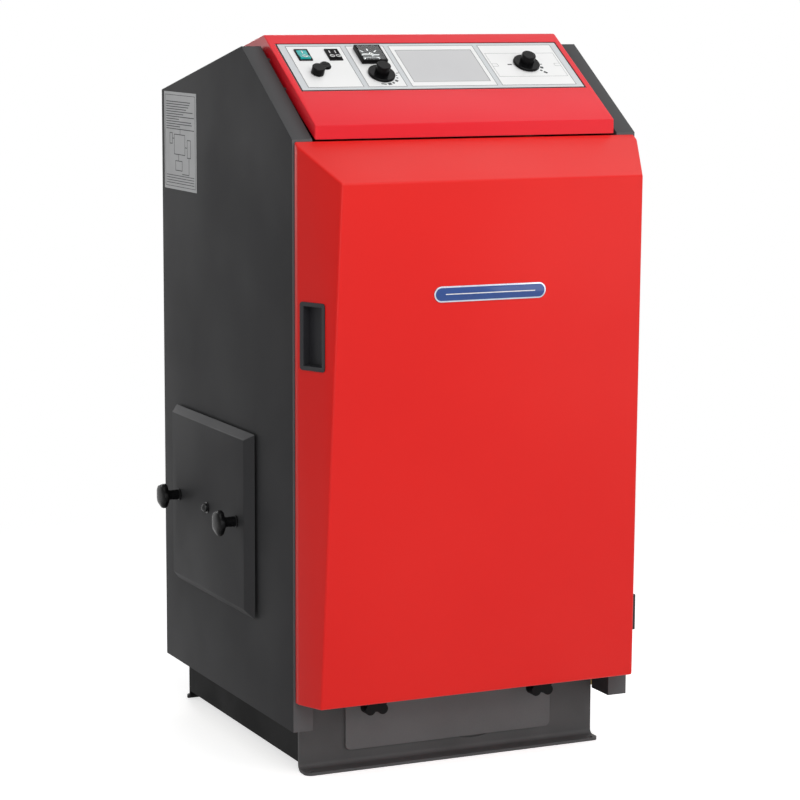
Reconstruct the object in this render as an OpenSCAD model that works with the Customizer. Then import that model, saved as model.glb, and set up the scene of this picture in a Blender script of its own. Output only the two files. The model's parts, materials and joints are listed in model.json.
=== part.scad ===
// Floor-standing solid fuel boiler with a hinged front door, a sloping control
// hood, a removable burner cover on its left side and a welded water jacket.
// Millimetres. X runs to the right seen from the front, Y to the back, Z up.

/* [Casing] */
// Width across the two side panels
case_w = 620; // [580:1:700]
// Depth of the side panels
case_d = 597; // [590:1:680]
// Height of the side panels' bottom edge above the floor
case_bottom = 86; // [70:1:100]
// Height of the top end of the front edge
front_top = 1049; // [1040:1:1080]
// Distance of the ridge behind the front
ridge_back = 215; // [190:1:240]
// Height of the side panels' ridge above the top end of their front edge
ridge_rise = 141.5; // [115:0.5:180]
// Drop of the side panels from the ridge to the rear edge
rear_drop = 83.5; // [60:0.5:105]
// Thickness of the casing sheet
sheet_t = 1.5; // [1:0.1:2]
// Width of the flanges folded inwards round the side panels
flange_w = 35; // [30:1:40]
// Depth of the lip folded back from the front flange
lip_d = 58; // [20:1:60]
// Depth of the lip folded down from the sloping flanges
strip_lip_d = 20; // [12:1:26]

/* [Welded body] */
// Space between the welded body and the casing's sides
body_side_gap = 35.5; // [35.5:0.5:45]
// Distance of the front plate behind the casing's front
body_front = 60.6; // [55:0.1:75]
// Space between the welded body and the casing's rear
body_rear_gap = 20; // [18:1:30]
// Distance of the body's top plate below the casing's front top
body_drop = 49; // [40:1:70]
// Height of the side plates' bottom edge
skirt_bottom = 16; // [10:1:30]
// Height of the ash chamber's floor
floor_top = 45; // [40:1:60]
// Thickness of the body's steel plates
plate_t = 5; // [4:0.5:6]
// Inner radius of the bend between a plate and its foot
foot_bend_r = 8; // [6:1:12]
// Distance the front foot reaches forward of its plate
front_foot_reach = 32; // [28:1:40]
// Distance the rear foot reaches behind its plate
rear_foot_reach = 22; // [22:1:28]
// Radius of the rounded foot corners
foot_corner_r = 12; // [3:1:13]
// Radius of the fixing holes in the feet
foot_hole_r = 4.5; // [3:0.5:5]
// Distance of a fixing hole from the foot's end
foot_hole_inset = 12.5; // [10:0.5:20]
// Distance of a fixing hole from the foot's long edge
foot_hole_edge = 8.5; // [8:0.5:9]

/* [Hood] */
// Gap between the hood and the folded flanges beside it
hood_side_gap = 4.5; // [3:0.5:20]
// Height of the hood's front lip
hood_lip_h = 23; // [18:1:28]
// Height of the hood's ridge above the side panels' ridge
hood_rise = 18.5; // [12:0.5:24]
// Length of the hood's roof behind the ridge
hood_rear_l = 90; // [70:1:110]
// Depth of the hood's side walls under its skin at the ridge
hood_side_d = 34; // [28:1:40]
// Gap between the hood's lip and the door's top edge
hood_door_gap = 2; // [1:0.5:3]

/* [Fascia] */
// Distance of the fascia's lower edge from the hood's lower edge
fascia_start = 94.5; // [80:0.5:105]
// Distance of the fascia's upper edge from the ridge
fascia_end = 28; // [22:0.5:36]
// Thickness of the fascia
fascia_t = 4; // [3:0.5:6]
// Width of the rim that holds the fascia under the hood's skin
fascia_rim = 10; // [6:1:11]
// Thickness of the white plates
panel_t = 1.2; // [1:0.1:2]
// Width of the white plate with the switches
switch_panel_w = 98.5; // [96:0.5:104]
// Width of the white plate with the thermometer
gauge_panel_w = 69.5; // [66:0.5:75]
// Gap between neighbouring white plates
panel_space = 8.5; // [6:0.5:11]

/* [Controls] */
// Width of a rocker switch's bezel
switch_w = 24; // [22:0.5:26]
// Height of a rocker switch's bezel
switch_h = 32; // [30:0.5:34]
// Height of the bezel above the plate
switch_proud = 2; // [1:0.5:3]
// Width of the bezel's frame
switch_rim = 2.6; // [2:0.1:3]
// Depth of the switch body behind the plate
switch_depth = 25; // [22:1:30]
// Angle that a rocker turns through
rocker_angle = 14; // [10:1:18]
// Radius of the safety thermostat's cap
safety_r = 11; // [9:0.5:12]
// Height of the safety thermostat's cap
safety_h = 13; // [12:0.5:18]
// Travel of the reset button under the cap
reset_travel = 2.5; // [1.5:0.5:3]
// Radius of the fuse cap
fuse_r = 10; // [8:0.5:11]
// Height of the fuse cap
fuse_h = 4; // [3.5:0.5:6]
// Side of the square thermometer
gauge_w = 46; // [42:1:48]
// Height of the thermometer above the plate
gauge_h = 8; // [6:1:12]
// Radius of a thermostat knob's disc
knob_r = 23; // [22:0.5:27]
// Thickness of a thermostat knob's disc
knob_disc_t = 5; // [3:0.5:7]
// Radius of a thermostat knob's grip
knob_grip_r = 12; // [10:0.5:14]
// Height of a thermostat knob's grip
knob_h = 20; // [18:1:24]
// Length of a thermostat's body behind the fascia
stat_depth = 40; // [30:1:50]

/* [Front door] */
// Distance of the front door's sides from the casing's sides
door_inset = 3; // [1:0.5:8]
// Height of the door's bottom edge
door_bottom = 135; // [125:1:145]
// Height of the door's top bevel
door_bevel_h = 61.4; // [46:0.2:80]
// Distance the door stands forward at the top
door_top_proud = 102; // [90:1:110]
// Distance the door stands forward at the bottom
door_bottom_proud = 60.4; // [54:0.2:75]
// Width of the door's side bevels at the top
door_bevel_w = 38.5; // [30:0.5:50]
// Depth of the door's straight side wall
door_edge_d = 13; // [8:0.5:16]
// Thickness of the door's skin
door_t = 1.5; // [1:0.1:2]
// Width of the rim folded in round the door's back
door_rim = 14; // [10:1:18]
// Gap between the closed door and the casing
door_gap = 1; // [0.8:0.1:2]
// Thickness of the door's insulation
door_wool_t = 30; // [20:1:36]
// Width of the handle cup
cup_w = 54; // [48:1:60]
// Height of the handle cup
cup_h = 109; // [90:1:120]
// Depth of the handle cup
cup_d = 17; // [12:1:19]
// Distance of the handle cup's centre below the door's top edge
cup_drop = 306.3; // [220:0.1:400]
// Distance of the handle cup's centre from the bevel's rear edge
cup_along = 34; // [32:0.5:60]
// Radius of a hinge barrel
hinge_r = 6.5; // [5.5:0.1:7]
// Radius of a hinge pin
hinge_pin_r = 3; // [2.5:0.1:3.5]
// Height of one hinge, both knuckles together
hinge_h = 60; // [50:1:80]

/* [Loading door] */
// Width of the loading opening
load_w = 300; // [260:1:310]
// Distance of the loading opening below the firebox's roof
load_drop = 70; // [60:1:110]
// Overlap of the loading door round its opening
load_lap = 20; // [16:1:24]
// Thickness of the loading door's plate
load_t = 8; // [6:0.5:10]
// Thickness of the rope seal when pressed
load_seal_t = 6; // [5:0.5:8]
// Depth of the loading door's refractory block
load_block_d = 46; // [36:1:50]
// Distance of the loading door's hinge axis beyond the door plate's edge
load_hinge_out = 25; // [20:1:28]
// Radius of the loading door's hinge knuckles
load_knuckle_r = 9; // [8:0.5:10]
// Radius of the loading door's hinge pins
load_pin_r = 5; // [4:0.5:6]
// Length of the loading door's lever
lever_l = 110; // [90:1:130]
// Length of the hook opposite the lever
hook_l = 52; // [50:1:53]
// Thickness of the lever and hook
lever_t = 8; // [6:0.5:9]

/* [Ash door] */
// Overlap of the ash door's cover plate beyond its studs
ash_cover_lap = 37.5; // [28:0.5:46]
// Height of the ash door's lower edge
ash_cover_bottom = 28; // [26:1:34]
// Height of the ash door's cover plate
ash_cover_h = 180; // [176:1:200]
// Thickness of the ash door's cover plate
ash_cover_t = 4; // [3:0.5:6]
// Radius of the cover plate's corners
ash_corner_r = 10; // [6:1:16]
// Width of the ash opening
ash_w = 250; // [220:1:256]
// Height of the star knobs' axes
star_z = 120; // [110:1:130]
// Radius of a star knob over its lobes
star_r = 28; // [24:0.5:30]
// Number of lobes on a star knob
star_lobes = 5; // [5:1:8]
// Length of a star knob, stem and head
star_l = 43; // [38:1:44]
// Radius of the star knobs' studs
star_stud_r = 5; // [4:0.5:6]
// Height of the ash pan
pan_h = 110; // [80:1:125]
// Thickness of the ash pan's sheet
pan_t = 2; // [1.5:0.5:3]

/* [Side cover] */
// Distance of the burner opening's centre from the casing's rear
burner_back = 260.5; // [248:0.5:275]
// Height of the burner opening's centre
burner_z = 402; // [390:1:420]
// Length of the side cover, front to back
cover_l = 370; // [350:1:390]
// Height of the side cover above the burner's centre
cover_up = 153; // [140:1:160]
// Height of the side cover below the burner's centre
cover_down = 160; // [150:1:166]
// Distance of the cover's rim from the side panel
cover_gap = 5; // [3:0.5:7]
// Depth of the cover's bevel
cover_bevel_d = 14; // [10:0.5:16]
// Inset of the cover's bevel at its sides and bottom
cover_bevel_in = 15; // [10:0.5:18]
// Radius of a cover knob's disc
cover_knob_r = 22.5; // [18:0.5:25]
// Thickness of a cover knob's disc
cover_knob_t = 14; // [10:0.5:18]
// Radius of a cover knob's stem
cover_stem_r = 9; // [8:0.5:11]
// Distance a cover knob stands out from the cover
cover_knob_l = 38; // [34:1:54]
// Radius of the cover knobs' studs
cover_stud_r = 5; // [4:0.5:6]
// Width and height of the square burner opening
burner_w = 170; // [150:1:186]
// Thickness of the blanking plate
blank_t = 6; // [4:0.5:7]
// Radius of the cap nut at the cover's centre
cap_nut_r = 7.5; // [6:0.5:9]

/* [Firebox and exchanger] */
// Distance of the firebox's sides from the body's sides
water_side = 59.5; // [58.5:0.5:70]
// Depth of the space for the exchanger behind the firebox
exchanger_d = 137.4; // [130:0.1:142]
// Distance of the firebox's roof below the body's top plate
water_top = 70; // [60:1:80]
// Height of the lower tube sheet
sheet_low = 380; // [370:1:390]
// Distance of the upper tube sheet below the body's top plate
smoke_box_h = 200; // [194:1:220]
// Number of exchanger tubes
tube_count = 5; // [3:1:5]
// Outer radius of an exchanger tube
tube_r = 28.5; // [26:0.5:30]
// Wall of an exchanger tube
tube_wall = 3.2; // [2.6:0.1:4]
// Thickness of the refractory slabs
brick_t = 30; // [24:1:36]
// Height of the grate's underside
grate_z = 200; // [198:1:206]
// Thickness of the grate
grate_t = 12; // [10:1:16]
// Width of the slots in the grate
grate_slot = 12; // [10:1:14]
// Height of the nozzle block's underside
nozzle_z = 545; // [540:1:550]
// Thickness of the nozzle block
nozzle_t = 45; // [40:1:48]
// Thickness of the lid
lid_t = 8; // [6:1:10]

/* [Rear connections] */
// Outer radius of the flue spigot
flue_r = 76; // [60:1:80]
// Wall of the flue spigot
flue_wall = 3; // [2:0.5:4]
// Length of the flue spigot behind the body
flue_l = 103; // [90:1:120]
// Distance of the flue spigot's axis below the body's top plate
flue_drop = 100; // [96:1:104]
// Bore radius of the flow and return sockets
socket_bore_r = 22.4; // [20:0.1:23]
// Outer radius of the flow and return sockets
socket_r = 30; // [28:0.5:32]
// Length of the flow and return sockets
socket_l = 35; // [30:1:45]
// Height of the return socket
return_z = 120; // [110:1:130]
// Bore radius of the drain socket
drain_bore_r = 9.3; // [8:0.1:10]
// Outer radius of the drain socket
drain_r = 14; // [13:0.5:16]
// Height of the drain socket
drain_z = 75; // [70:1:80]
// Outer radius of the cooling loop's pipe
cool_r = 11; // [8:0.5:12]
// Spacing of the cooling loop's two legs
cool_pitch = 60; // [50:1:70]
// Radius of the cooling loop's threaded ends
cool_end_r = 13.2; // [12.5:0.1:14]
// Length of the cooling loop's threaded ends
cool_end_l = 20; // [16:1:24]

/* [Hidden] */
$fn = 48;

// Shared clearances and overrun
run_gap = 0.05;
seam = 0.05;
seat_gap = 0.2;
fit_gap = 0.3;
overrun = 1;

// Casing planes
case_x = case_w / 2;
inner_x = case_x - flange_w;
ridge_top = front_top + ridge_rise;
rear_top = ridge_top - rear_drop;
front_slope = atan2(ridge_top - front_top, ridge_back);
rear_slope = atan2(ridge_top - rear_top, case_d - ridge_back);

// Welded body planes
body_x = case_x - body_side_gap;
body_back = case_d - body_rear_gap;
body_top = front_top - body_drop;
body_in_front = body_front + plate_t;
body_in_back = body_back - plate_t;
plate_out_r = foot_bend_r + plate_t;
foot_hole_x = body_x - foot_hole_inset;

// Firebox planes
fire_x = body_x - water_side;
fire_in_x = fire_x - plate_t;
fire_back = body_in_back - exchanger_d;
fire_d = fire_back - body_in_front;
fire_top = body_top - water_top;
sheet_high = body_top - smoke_box_h;
tube_end_share = 0.25;
tube_pitch = 2 * fire_in_x / (tube_count + tube_end_share);
gas_rise = 8;
lid_side_gap = 9.7;
lid_end_gap = 10;
gas_drop = 30;
gas_side = 60;
gas_low = grate_z + grate_t + gas_rise;
gas_high = sheet_low - gas_drop;
gas_x = fire_in_x - gas_side;
lid_l = 2 * (fire_in_x - lid_end_gap);
lid_d = exchanger_d - 2 * lid_side_gap;

// Hood planes
hood_x = inner_x - hood_side_gap;
hood_lip_drop = 1;
hood_lip_low = front_top - hood_lip_drop;
hood_lip_top = hood_lip_low + hood_lip_h;
hood_ridge = ridge_top + hood_rise;
hood_slope = atan2(hood_ridge - hood_lip_top, ridge_back);
hood_end_y = ridge_back + hood_rear_l;
hood_end_z = hood_ridge - hood_rear_l * tan(rear_slope);
hood_clip_r = 2.5;
hood_clip_shares = [0.56, 0.88];
hood_clip_drop = 5;

// Door planes
door_x = case_x - door_inset;
door_back = -door_gap;
door_top = hood_lip_low - hood_door_gap;
door_face_x = door_x - door_bevel_w;
door_bevel_z = door_top - door_bevel_h;
door_top_slope = atan2(door_top - door_bevel_z, door_top_proud - door_gap);
door_side_tilt = atan2(door_x - door_face_x, door_top_proud - door_edge_d);
hinge_leaf_t = 2.5;
hinge_leaf_l = 28;
hinge_drop = 146;
hinge_rise = 65;
hinge_x = door_x + hinge_r + hinge_leaf_t;
hinge_y = -hinge_r + hinge_leaf_t;
hinge_zs = [door_bottom + hinge_rise, door_top - hinge_drop];

// Places on the fascia: distance across from the centre, distance up the slope
fascia_gap = 2;
panel_pocket = 0.8;
window_margin = 12.5;
window_side = 8;
panel_side = 13;
panel_margin = 7.5;
fascia_side = 12.5;
fascia_w = 2 * (hood_x - fascia_side);
fascia_h = ridge_back / cos(hood_slope) - fascia_start - fascia_end;
fascia_mid = fascia_start + fascia_h / 2;
panel_h = fascia_h - 2 * panel_margin;
wide_panels_w = fascia_w - 2 * panel_side - switch_panel_w - gauge_panel_w - 3 * panel_space;
controller_share = 0.5295;
controller_panel_w = wide_panels_w * controller_share;
knob_panel_w = wide_panels_w - controller_panel_w;
window_w = controller_panel_w - 2 * window_side;
window_h = panel_h - 2 * window_margin;
panel_ws = [switch_panel_w, gauge_panel_w, controller_panel_w, knob_panel_w];
panel_total = panel_ws[0] + panel_ws[1] + panel_ws[2] + panel_ws[3] + 3 * panel_space;
function panel_left(i) = i == 0 ? -panel_total / 2 : panel_left(i - 1) + panel_ws[i - 1] + panel_space;
function panel_mid(i) = panel_left(i) + panel_ws[i] / 2;
power_in = 23.5;
pump_in = 77.5;
safety_in = 30;
fuse_in = 51;
switch_gap = 10;
gauge_gap = 7;
knob_gap = 11;
safety_down = 19;
mid_up = 1;
panel_up = fascia_mid + panel_h / 2;
power_place = [panel_left(0) + power_in, panel_up - switch_gap - switch_h / 2];
pump_place = [panel_left(0) + pump_in, panel_up - switch_gap - switch_h / 2];
safety_place = [panel_left(0) + safety_in, fascia_mid - safety_down];
fuse_place = [panel_left(0) + fuse_in, fascia_mid + mid_up];
gauge_place = [panel_mid(1), panel_up - gauge_gap - gauge_w / 2];
boiler_knob_place = [panel_mid(1), panel_up - panel_h + knob_gap + knob_r];
flue_knob_place = [panel_mid(3), fascia_mid + mid_up];

// Switch and rocker
switch_lap = 1;
switch_in_w = switch_w - 2 * switch_rim;
switch_in_h = switch_h - 2 * switch_rim;
rocker_r = switch_in_h / 2 - fit_gap;
rocker_drop = 3;
rocker_rise = 3.2;
rocker_dip = 1.2;
rocker_pin_r = 1.5;
rocker_ear = 1.2;

// Safety thermostat, fuse and thermostat shafts
bush_r = 5;
bush_h = 6;
nut_r = 8.5;
nut_t = 3;
cap_wall = 2;
fuse_flange_t = 1.5;
fuse_slot_w = 1.2;
fuse_slot_d = 0.8;
reset_r = 3;
reset_h = 7;
shaft_r = 3;
shaft_h = 14;
stat_r = 18;
stat_bush_r = 6;
knob_rib_w = 2.4;
knob_rib_h = 1;
knob_rib_end = 3;
knob_chamfer = 1;

// Thermometer
gauge_wall = 3;
gauge_floor = 2;
gauge_neck_r = 15;
gauge_neck_l = 22;
pointer_l = 15;
pointer_w = 1.8;
pointer_tail = 5;
pointer_t = 0.8;
pointer_hub_r = 3;
pointer_pin_r = 1;
pointer_pin_h = 3.5;
pointer_lift = 1;
pointer_rest = 90;
lens_t = 1.5;

// Handle cup
cup_flange_t = 1.5;
cup_rim = 5;
cup_wall = 2;
cup_corner_r = 5;
cup_x = -door_x + cup_along * sin(door_side_tilt);
cup_y = -door_edge_d - cup_along * cos(door_side_tilt);
cup_z = door_top - cup_drop;

// Catches behind the door
catch_w = 14;
catch_d = 14;
catch_h = 36;
catch_rise = 165;
catch_drop = 286;
catch_zs = [door_bottom + catch_rise, door_top - catch_drop];
buffer_r = 5;
buffer_rise = 185;
buffer_drop = 86;
buffer_zs = [door_bottom + buffer_rise, door_top - buffer_drop];

// Loading door
load_x = load_w / 2;
load_rise = 10;
load_bottom = nozzle_z + nozzle_t + load_rise;
load_top = fire_top - load_drop;
load_plate_y = body_front - fit_gap - load_seal_t - load_t;
load_plate_x = load_x + load_lap;
load_hinge_x = load_plate_x + load_hinge_out;
load_hinge_y = load_plate_y - load_knuckle_r + load_t / 2;
load_knuckle_h = 20;
load_knuckle_zs = [load_bottom + load_knuckle_h, load_top - 3 * load_knuckle_h];
load_arm_t = 8;
load_seal_w = 14;
load_block_gap = 6;
load_block_hinge_gap = 8;
load_block_swing_gap = 24;
handle_inset = 35;
handle_x = handle_inset - load_plate_x;
handle_z = (load_bottom + load_top) / 2;
handle_hub_r = 14;
handle_bore_r = 6;
handle_gap = 1.5;
handle_back = load_plate_y - handle_gap;
handle_front = handle_back - lever_t;
lever_w = 16;
grip_r = 12;
grip_l = 26;
washer_r = 9;
washer_t = 2;
keeper_gap = 2;
keeper_t = 5;
keeper_w = 24;

// Ash door and ash pan
ash_x = ash_w / 2;
ash_cover_back = body_front - fit_gap;
ash_cover_front = ash_cover_back - ash_cover_t;
ash_plug_gap = 11;
ash_drop = 10;
star_out = 29.5;
ash_plug_d = 24;
ash_rope_d = 12;
ash_top = grate_z - plate_t - ash_drop;
star_x = ash_x + star_out;
ash_cover_w = 2 * (star_x + ash_cover_lap);
star_stem_r = 11;
star_head_l = 22;
star_lobe_r = 9;
star_front = ash_cover_front - seat_gap - star_l;
star_bore_wall = 8;
star_bore_depth = star_l - star_bore_wall;
relief_r = 95;
relief_x = 46;
relief_drop = 5;
relief_d = 2.5;
relief_w = 66;
pan_gap = 22;
pan_rear_gap = 17.3;
pan_front = ash_cover_back + ash_plug_d + pan_gap;
pan_d = fire_back - plate_t - pan_rear_gap - pan_front;
pan_side_gap = 7;
pan_x = ash_x - pan_side_gap;
pan_bottom = floor_top + fit_gap;
pan_grip_w = 90;
pan_grip_r = 3;
pan_grip_d = 16;
pan_grip_drop = 30;
pan_grip_z = pan_bottom + pan_h - pan_grip_drop;

// Side cover, its studs and knobs, measured outwards from the side panel
gasket_w = 12;
cover_bevel_top = 10;
cover_knob_in = 49.5;
burner_y = case_d - burner_back;
cover_hole_side = 25;
cover_hole_drop = 28;
cover_hole_y = cover_l - 2 * cover_hole_side;
cover_hole_z = 2 * (cover_up - cover_hole_drop);
cover_face = cover_gap + cover_bevel_d;
cover_stud_wall = 11;
cover_stud_end = cover_face + cover_knob_l - cover_stud_wall;
cover_knob_chamfer = 4;
cover_ys = [burner_y - cover_l / 2 + cover_knob_in, burner_y + cover_l / 2 - cover_knob_in];
cap_nut_h = 9;
cap_washer_r = 10;
burner_flange_out = 16;
burner_wall = 5;
blank_seat = body_x + burner_flange_out;
blank_lap = 30;
blank_w = burner_w + 2 * blank_lap;
blank_plug = 20;
blank_plug_gap = 8;
bolt_r = 4;

// Rear connections
cool_drop = 100;
flow_drop = 45;
cool_front_gap = 106.4;
socket_in = 32.5;
flue_z = body_top - flue_drop;
flow_z = body_top - flow_drop;
socket_x = body_x - socket_in;
cool_z = body_top - cool_drop;
flue_collar = 12;
flue_collar_t = 4;
well_x = 60;
well_y = 130;
well_r = 8;
well_boss_r = 17;
well_boss_h = 20;
well_gap = 12;
well_bottom = fire_top + well_gap;
cool_out = 40;

// Insulation and rear panels
wool_gap = 2;
wool_front = body_front + wool_gap;
wool_bottom = case_bottom + wool_gap * 2;
wool_top_t = 30;
top_cover_lap = 25;
top_cover_hem = 18;
hole_gap = 4;

// Exchanger
exchanger_y = (fire_back + body_in_back) / 2;
turb_w = 30;
turb_t = 2;
turb_swing = 12;
turb_steps = 10;
turb_bar_w = 12;
turb_bar_t = 3;
lid_lap = 8;
lid_plug_t = 12;
lid_grip_w = 90;
lid_grip_h = 26;
lid_grip_r = 4;

// The model's origin lies on the floor under the middle of its outer box
left_reach = case_x + cover_face + cover_knob_l;
right_reach = hinge_x + hinge_r;
back_reach = body_back + flue_l;
origin_x = (right_reach - left_reach) / 2;
origin_y = (back_reach - door_top_proud) / 2;

// Helpers

// Everything below is drawn from the casing's centre plane and front, then moved to the origin
module placed() {
    translate([-origin_x, -origin_y, 0]) children();
}

// A box between two opposite corners
module block(low, high) {
    translate(low) cube(high - low);
}

// A box centred across X and Y, between two heights
module slab(w, h, from, to) {
    block([-w / 2, -h / 2, from], [w / 2, h / 2, to]);
}

// A box along X round the burner's axis, reaching half_y and half_z from it
module burner_block(from, to, half_y, half_z) {
    block([from, burner_y - half_y, burner_z - half_z], [to, burner_y + half_y, burner_z + half_z]);
}

// Children and their mirror image on the other side
module both_sides() {
    children();
    mirror([1, 0, 0]) children();
}

// A round bar along X
module rod_x(r, y, z, from, to) {
    translate([from, y, z]) rotate([0, 90, 0]) cylinder(r = r, h = to - from);
}

// A round bar along Y
module rod_y(r, x, z, from, to) {
    translate([x, from, z]) rotate([-90, 0, 0]) cylinder(r = r, h = to - from);
}

// A round bar along Z
module rod_z(r, x, y, from, to) {
    translate([x, y, from]) cylinder(r = r, h = to - from);
}

// A round bar on the local Z axis
module post(r, from, to) {
    translate([0, 0, from]) cylinder(r = r, h = to - from);
}

// An outline in Y and Z, extruded along X
module extrude_x(from, to) {
    translate([from, 0, 0]) rotate([90, 0, 90]) linear_extrude(to - from) children();
}

// An outline in X and Y, extruded along Z
module extrude_z(from, to) {
    translate([0, 0, from]) linear_extrude(to - from) children();
}

// A round disc with both rims chamfered, standing on the XY plane
module chamfered_disc(r, h, c) {
    cylinder(r1 = r - c, r2 = r, h = c);
    translate([0, 0, c]) cylinder(r = r, h = h - 2 * c);
    translate([0, 0, h - c]) cylinder(r1 = r, r2 = r - c, h = c);
}

// A plate with rounded corners, centred on X and Y, standing on the XY plane
module rounded_plate(w, h, t, r) {
    block([-w / 2, -h / 2 + r, 0], [w / 2, h / 2 - r, t]);
    block([-w / 2 + r, -h / 2, 0], [w / 2 - r, h / 2, t]);
    for (x = [-1, 1], y = [-1, 1])
        translate([x * (w / 2 - r), y * (h / 2 - r), 0]) cylinder(r = r, h = t);
}

// Puts children on the hood's sloping face: X across, Y up the slope, Z outwards
module on_face(place, lift = 0) {
    translate([0, 0, hood_lip_top]) rotate([hood_slope, 0, 0])
        translate([place[0], place[1], lift]) children();
}

// Puts children on the left side panel: X up, Y to the back, Z outwards
module on_left_side(y, z) {
    translate([-case_x, y, z]) rotate([0, -90, 0]) children();
}

// Puts children on the door's left bevel: X towards the front, Y inwards, Z up
module on_bevel() {
    translate([cup_x, cup_y, cup_z]) rotate([0, 0, door_side_tilt - 90]) children();
}

// Welded body

// A plate with its foot bent towards -Y along the floor
module bent_plate(reach) {
    block([-body_x, 0, plate_out_r], [body_x, plate_t, body_top]);
    intersection() {
        difference() {
            rod_x(plate_out_r, -foot_bend_r, plate_out_r, -body_x, body_x);
            rod_x(foot_bend_r, -foot_bend_r, plate_out_r, -body_x - overrun, body_x + overrun);
        }
        block([-body_x, -foot_bend_r, 0], [body_x, plate_t, plate_out_r]);
    }
    difference() {
        block([-body_x, -reach, 0], [body_x, -foot_bend_r, plate_t]);
        both_sides() {
            rod_z(foot_hole_r, foot_hole_x, foot_hole_edge - reach, -overrun, plate_t + overrun);
            foot_corner(-reach);
        }
    }
}

// The waste outside the rounded right corner of a foot
module foot_corner(y) {
    difference() {
        translate([body_x, y, 0]) slab(2 * foot_corner_r, 2 * foot_corner_r, -plate_t, 2 * plate_t);
        rod_z(foot_corner_r, body_x - foot_corner_r, y + foot_corner_r, -2 * plate_t, 3 * plate_t);
    }
}

module front_plate() {
    color("#4b4b4c") {
        difference() {
            translate([0, body_front, 0]) bent_plate(front_foot_reach);
            block([-load_x, body_front - overrun, load_bottom],
                [load_x, body_in_front + overrun, load_top]);
            block([-ash_x, body_front - overrun, floor_top],
                [ash_x, body_in_front + overrun, ash_top]);
            finger_relief();
        }
        both_sides()
            rod_y(star_stud_r, star_x, star_z, star_front + star_l - star_bore_depth, body_front);
    }
}

// A shallow scoop below the ash door, where a finger lifts the cover plate
module finger_relief() {
    intersection() {
        rod_y(relief_r, relief_x, ash_cover_bottom - relief_drop + relief_r,
            body_front - overrun, body_front + relief_d);
        block([relief_x - relief_w / 2, body_front - overrun, ash_cover_bottom - 2 * relief_drop],
            [relief_x + relief_w / 2, body_front + relief_d, ash_cover_bottom + relief_drop]);
    }
}

// The outer plates, each a solid of its own with a hair gap at the weld
module water_jacket() {
    color("#333334") difference() {
        union() {
            both_sides()
                block([body_x - plate_t, body_in_front, skirt_bottom],
                    [body_x, body_in_back - seam, body_top]);
            for (z = [floor_top, body_top])
                block([plate_t - body_x + seam, body_in_front, z - plate_t],
                    [body_x - plate_t - seam, body_in_back - seam, z]);
            translate([0, body_back, 0]) mirror([0, 1, 0]) bent_plate(rear_foot_reach);
        }
        burner_block(-body_x - overrun, overrun - body_x + plate_t, burner_w / 2, burner_w / 2);
        translate([0, exchanger_y, 0])
            slab(lid_l - 4 * lid_lap, lid_d - 2 * lid_lap, body_top - 2 * plate_t, body_top + overrun);
        rod_y(flue_r - flue_wall, 0, flue_z, body_in_back - overrun, body_back + overrun);
        rod_y(socket_bore_r, -socket_x, flow_z, body_in_back - overrun, body_back + overrun);
        rod_y(socket_bore_r, socket_x, return_z, body_in_back - overrun, body_back + overrun);
        rod_y(drain_bore_r, -socket_x, drain_z, body_in_back - overrun, body_back + overrun);
        for (leg = [0, 1])
            rod_y(cool_r + seat_gap, socket_x, cool_z - leg * cool_pitch,
                body_in_back - overrun, body_back + overrun);
        rod_z(well_r + seat_gap, well_x, well_y, body_top - 2 * plate_t, body_top + overrun);
    }
}

module firebox_shell() {
    weld_x = fire_in_x - seam;
    rear_front = fire_back - plate_t;
    color("#3a3634") {
        difference() {
            both_sides() extrude_x(fire_in_x, fire_x) polygon([
                [body_in_front, floor_top], [body_in_back, floor_top],
                [body_in_back, body_top - plate_t], [rear_front, body_top - plate_t],
                [rear_front, fire_top], [body_in_front, fire_top]
            ]);
            burner_block(-fire_x - overrun, overrun - fire_in_x, burner_w / 2, burner_w / 2);
        }
        block([-weld_x, body_in_front, fire_top - plate_t], [weld_x, rear_front - seam, fire_top]);
        both_sides()
            block([fire_in_x - brick_t, body_in_front, grate_z - plate_t],
                [weld_x, rear_front - seam, grate_z]);
        difference() {
            block([-weld_x, rear_front, floor_top], [weld_x, fire_back, body_top - plate_t]);
            block([-gas_x, fire_back - 2 * plate_t, gas_low], [gas_x, fire_back + plate_t, gas_high]);
        }
        for (z = [sheet_low, sheet_high]) difference() {
            block([-weld_x, fire_back + seam, z], [weld_x, body_in_back, z + plate_t]);
            for (i = [0 : tube_count - 1])
                rod_z(tube_r - tube_wall, tube_x(i), exchanger_y, z - overrun, z + plate_t + overrun);
        }
    }
}

function tube_x(i) = (i - (tube_count - 1) / 2) * tube_pitch;

module refractory_lining() {
    wall_low = grate_z + grate_t + fit_gap;
    color("#c9bda4") {
        difference() {
            both_sides()
                block([fire_in_x - brick_t - fit_gap, body_in_front + fit_gap, wall_low],
                    [fire_in_x - fit_gap, fire_back - plate_t - fit_gap, nozzle_z - fit_gap]);
            burner_block(-fire_x, overrun - fire_in_x + brick_t, burner_w / 2, burner_w / 2);
        }
        difference() {
            block([fit_gap - fire_in_x, body_in_front + fit_gap, nozzle_z],
                [fire_in_x - fit_gap, fire_back - plate_t - fit_gap, nozzle_z + nozzle_t]);
            block([-brick_t, body_in_front + fire_d / 2 - 2 * brick_t, nozzle_z - overrun],
                [brick_t, body_in_front + fire_d / 2 + 2 * brick_t, nozzle_z + nozzle_t + overrun]);
        }
    }
}

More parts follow.
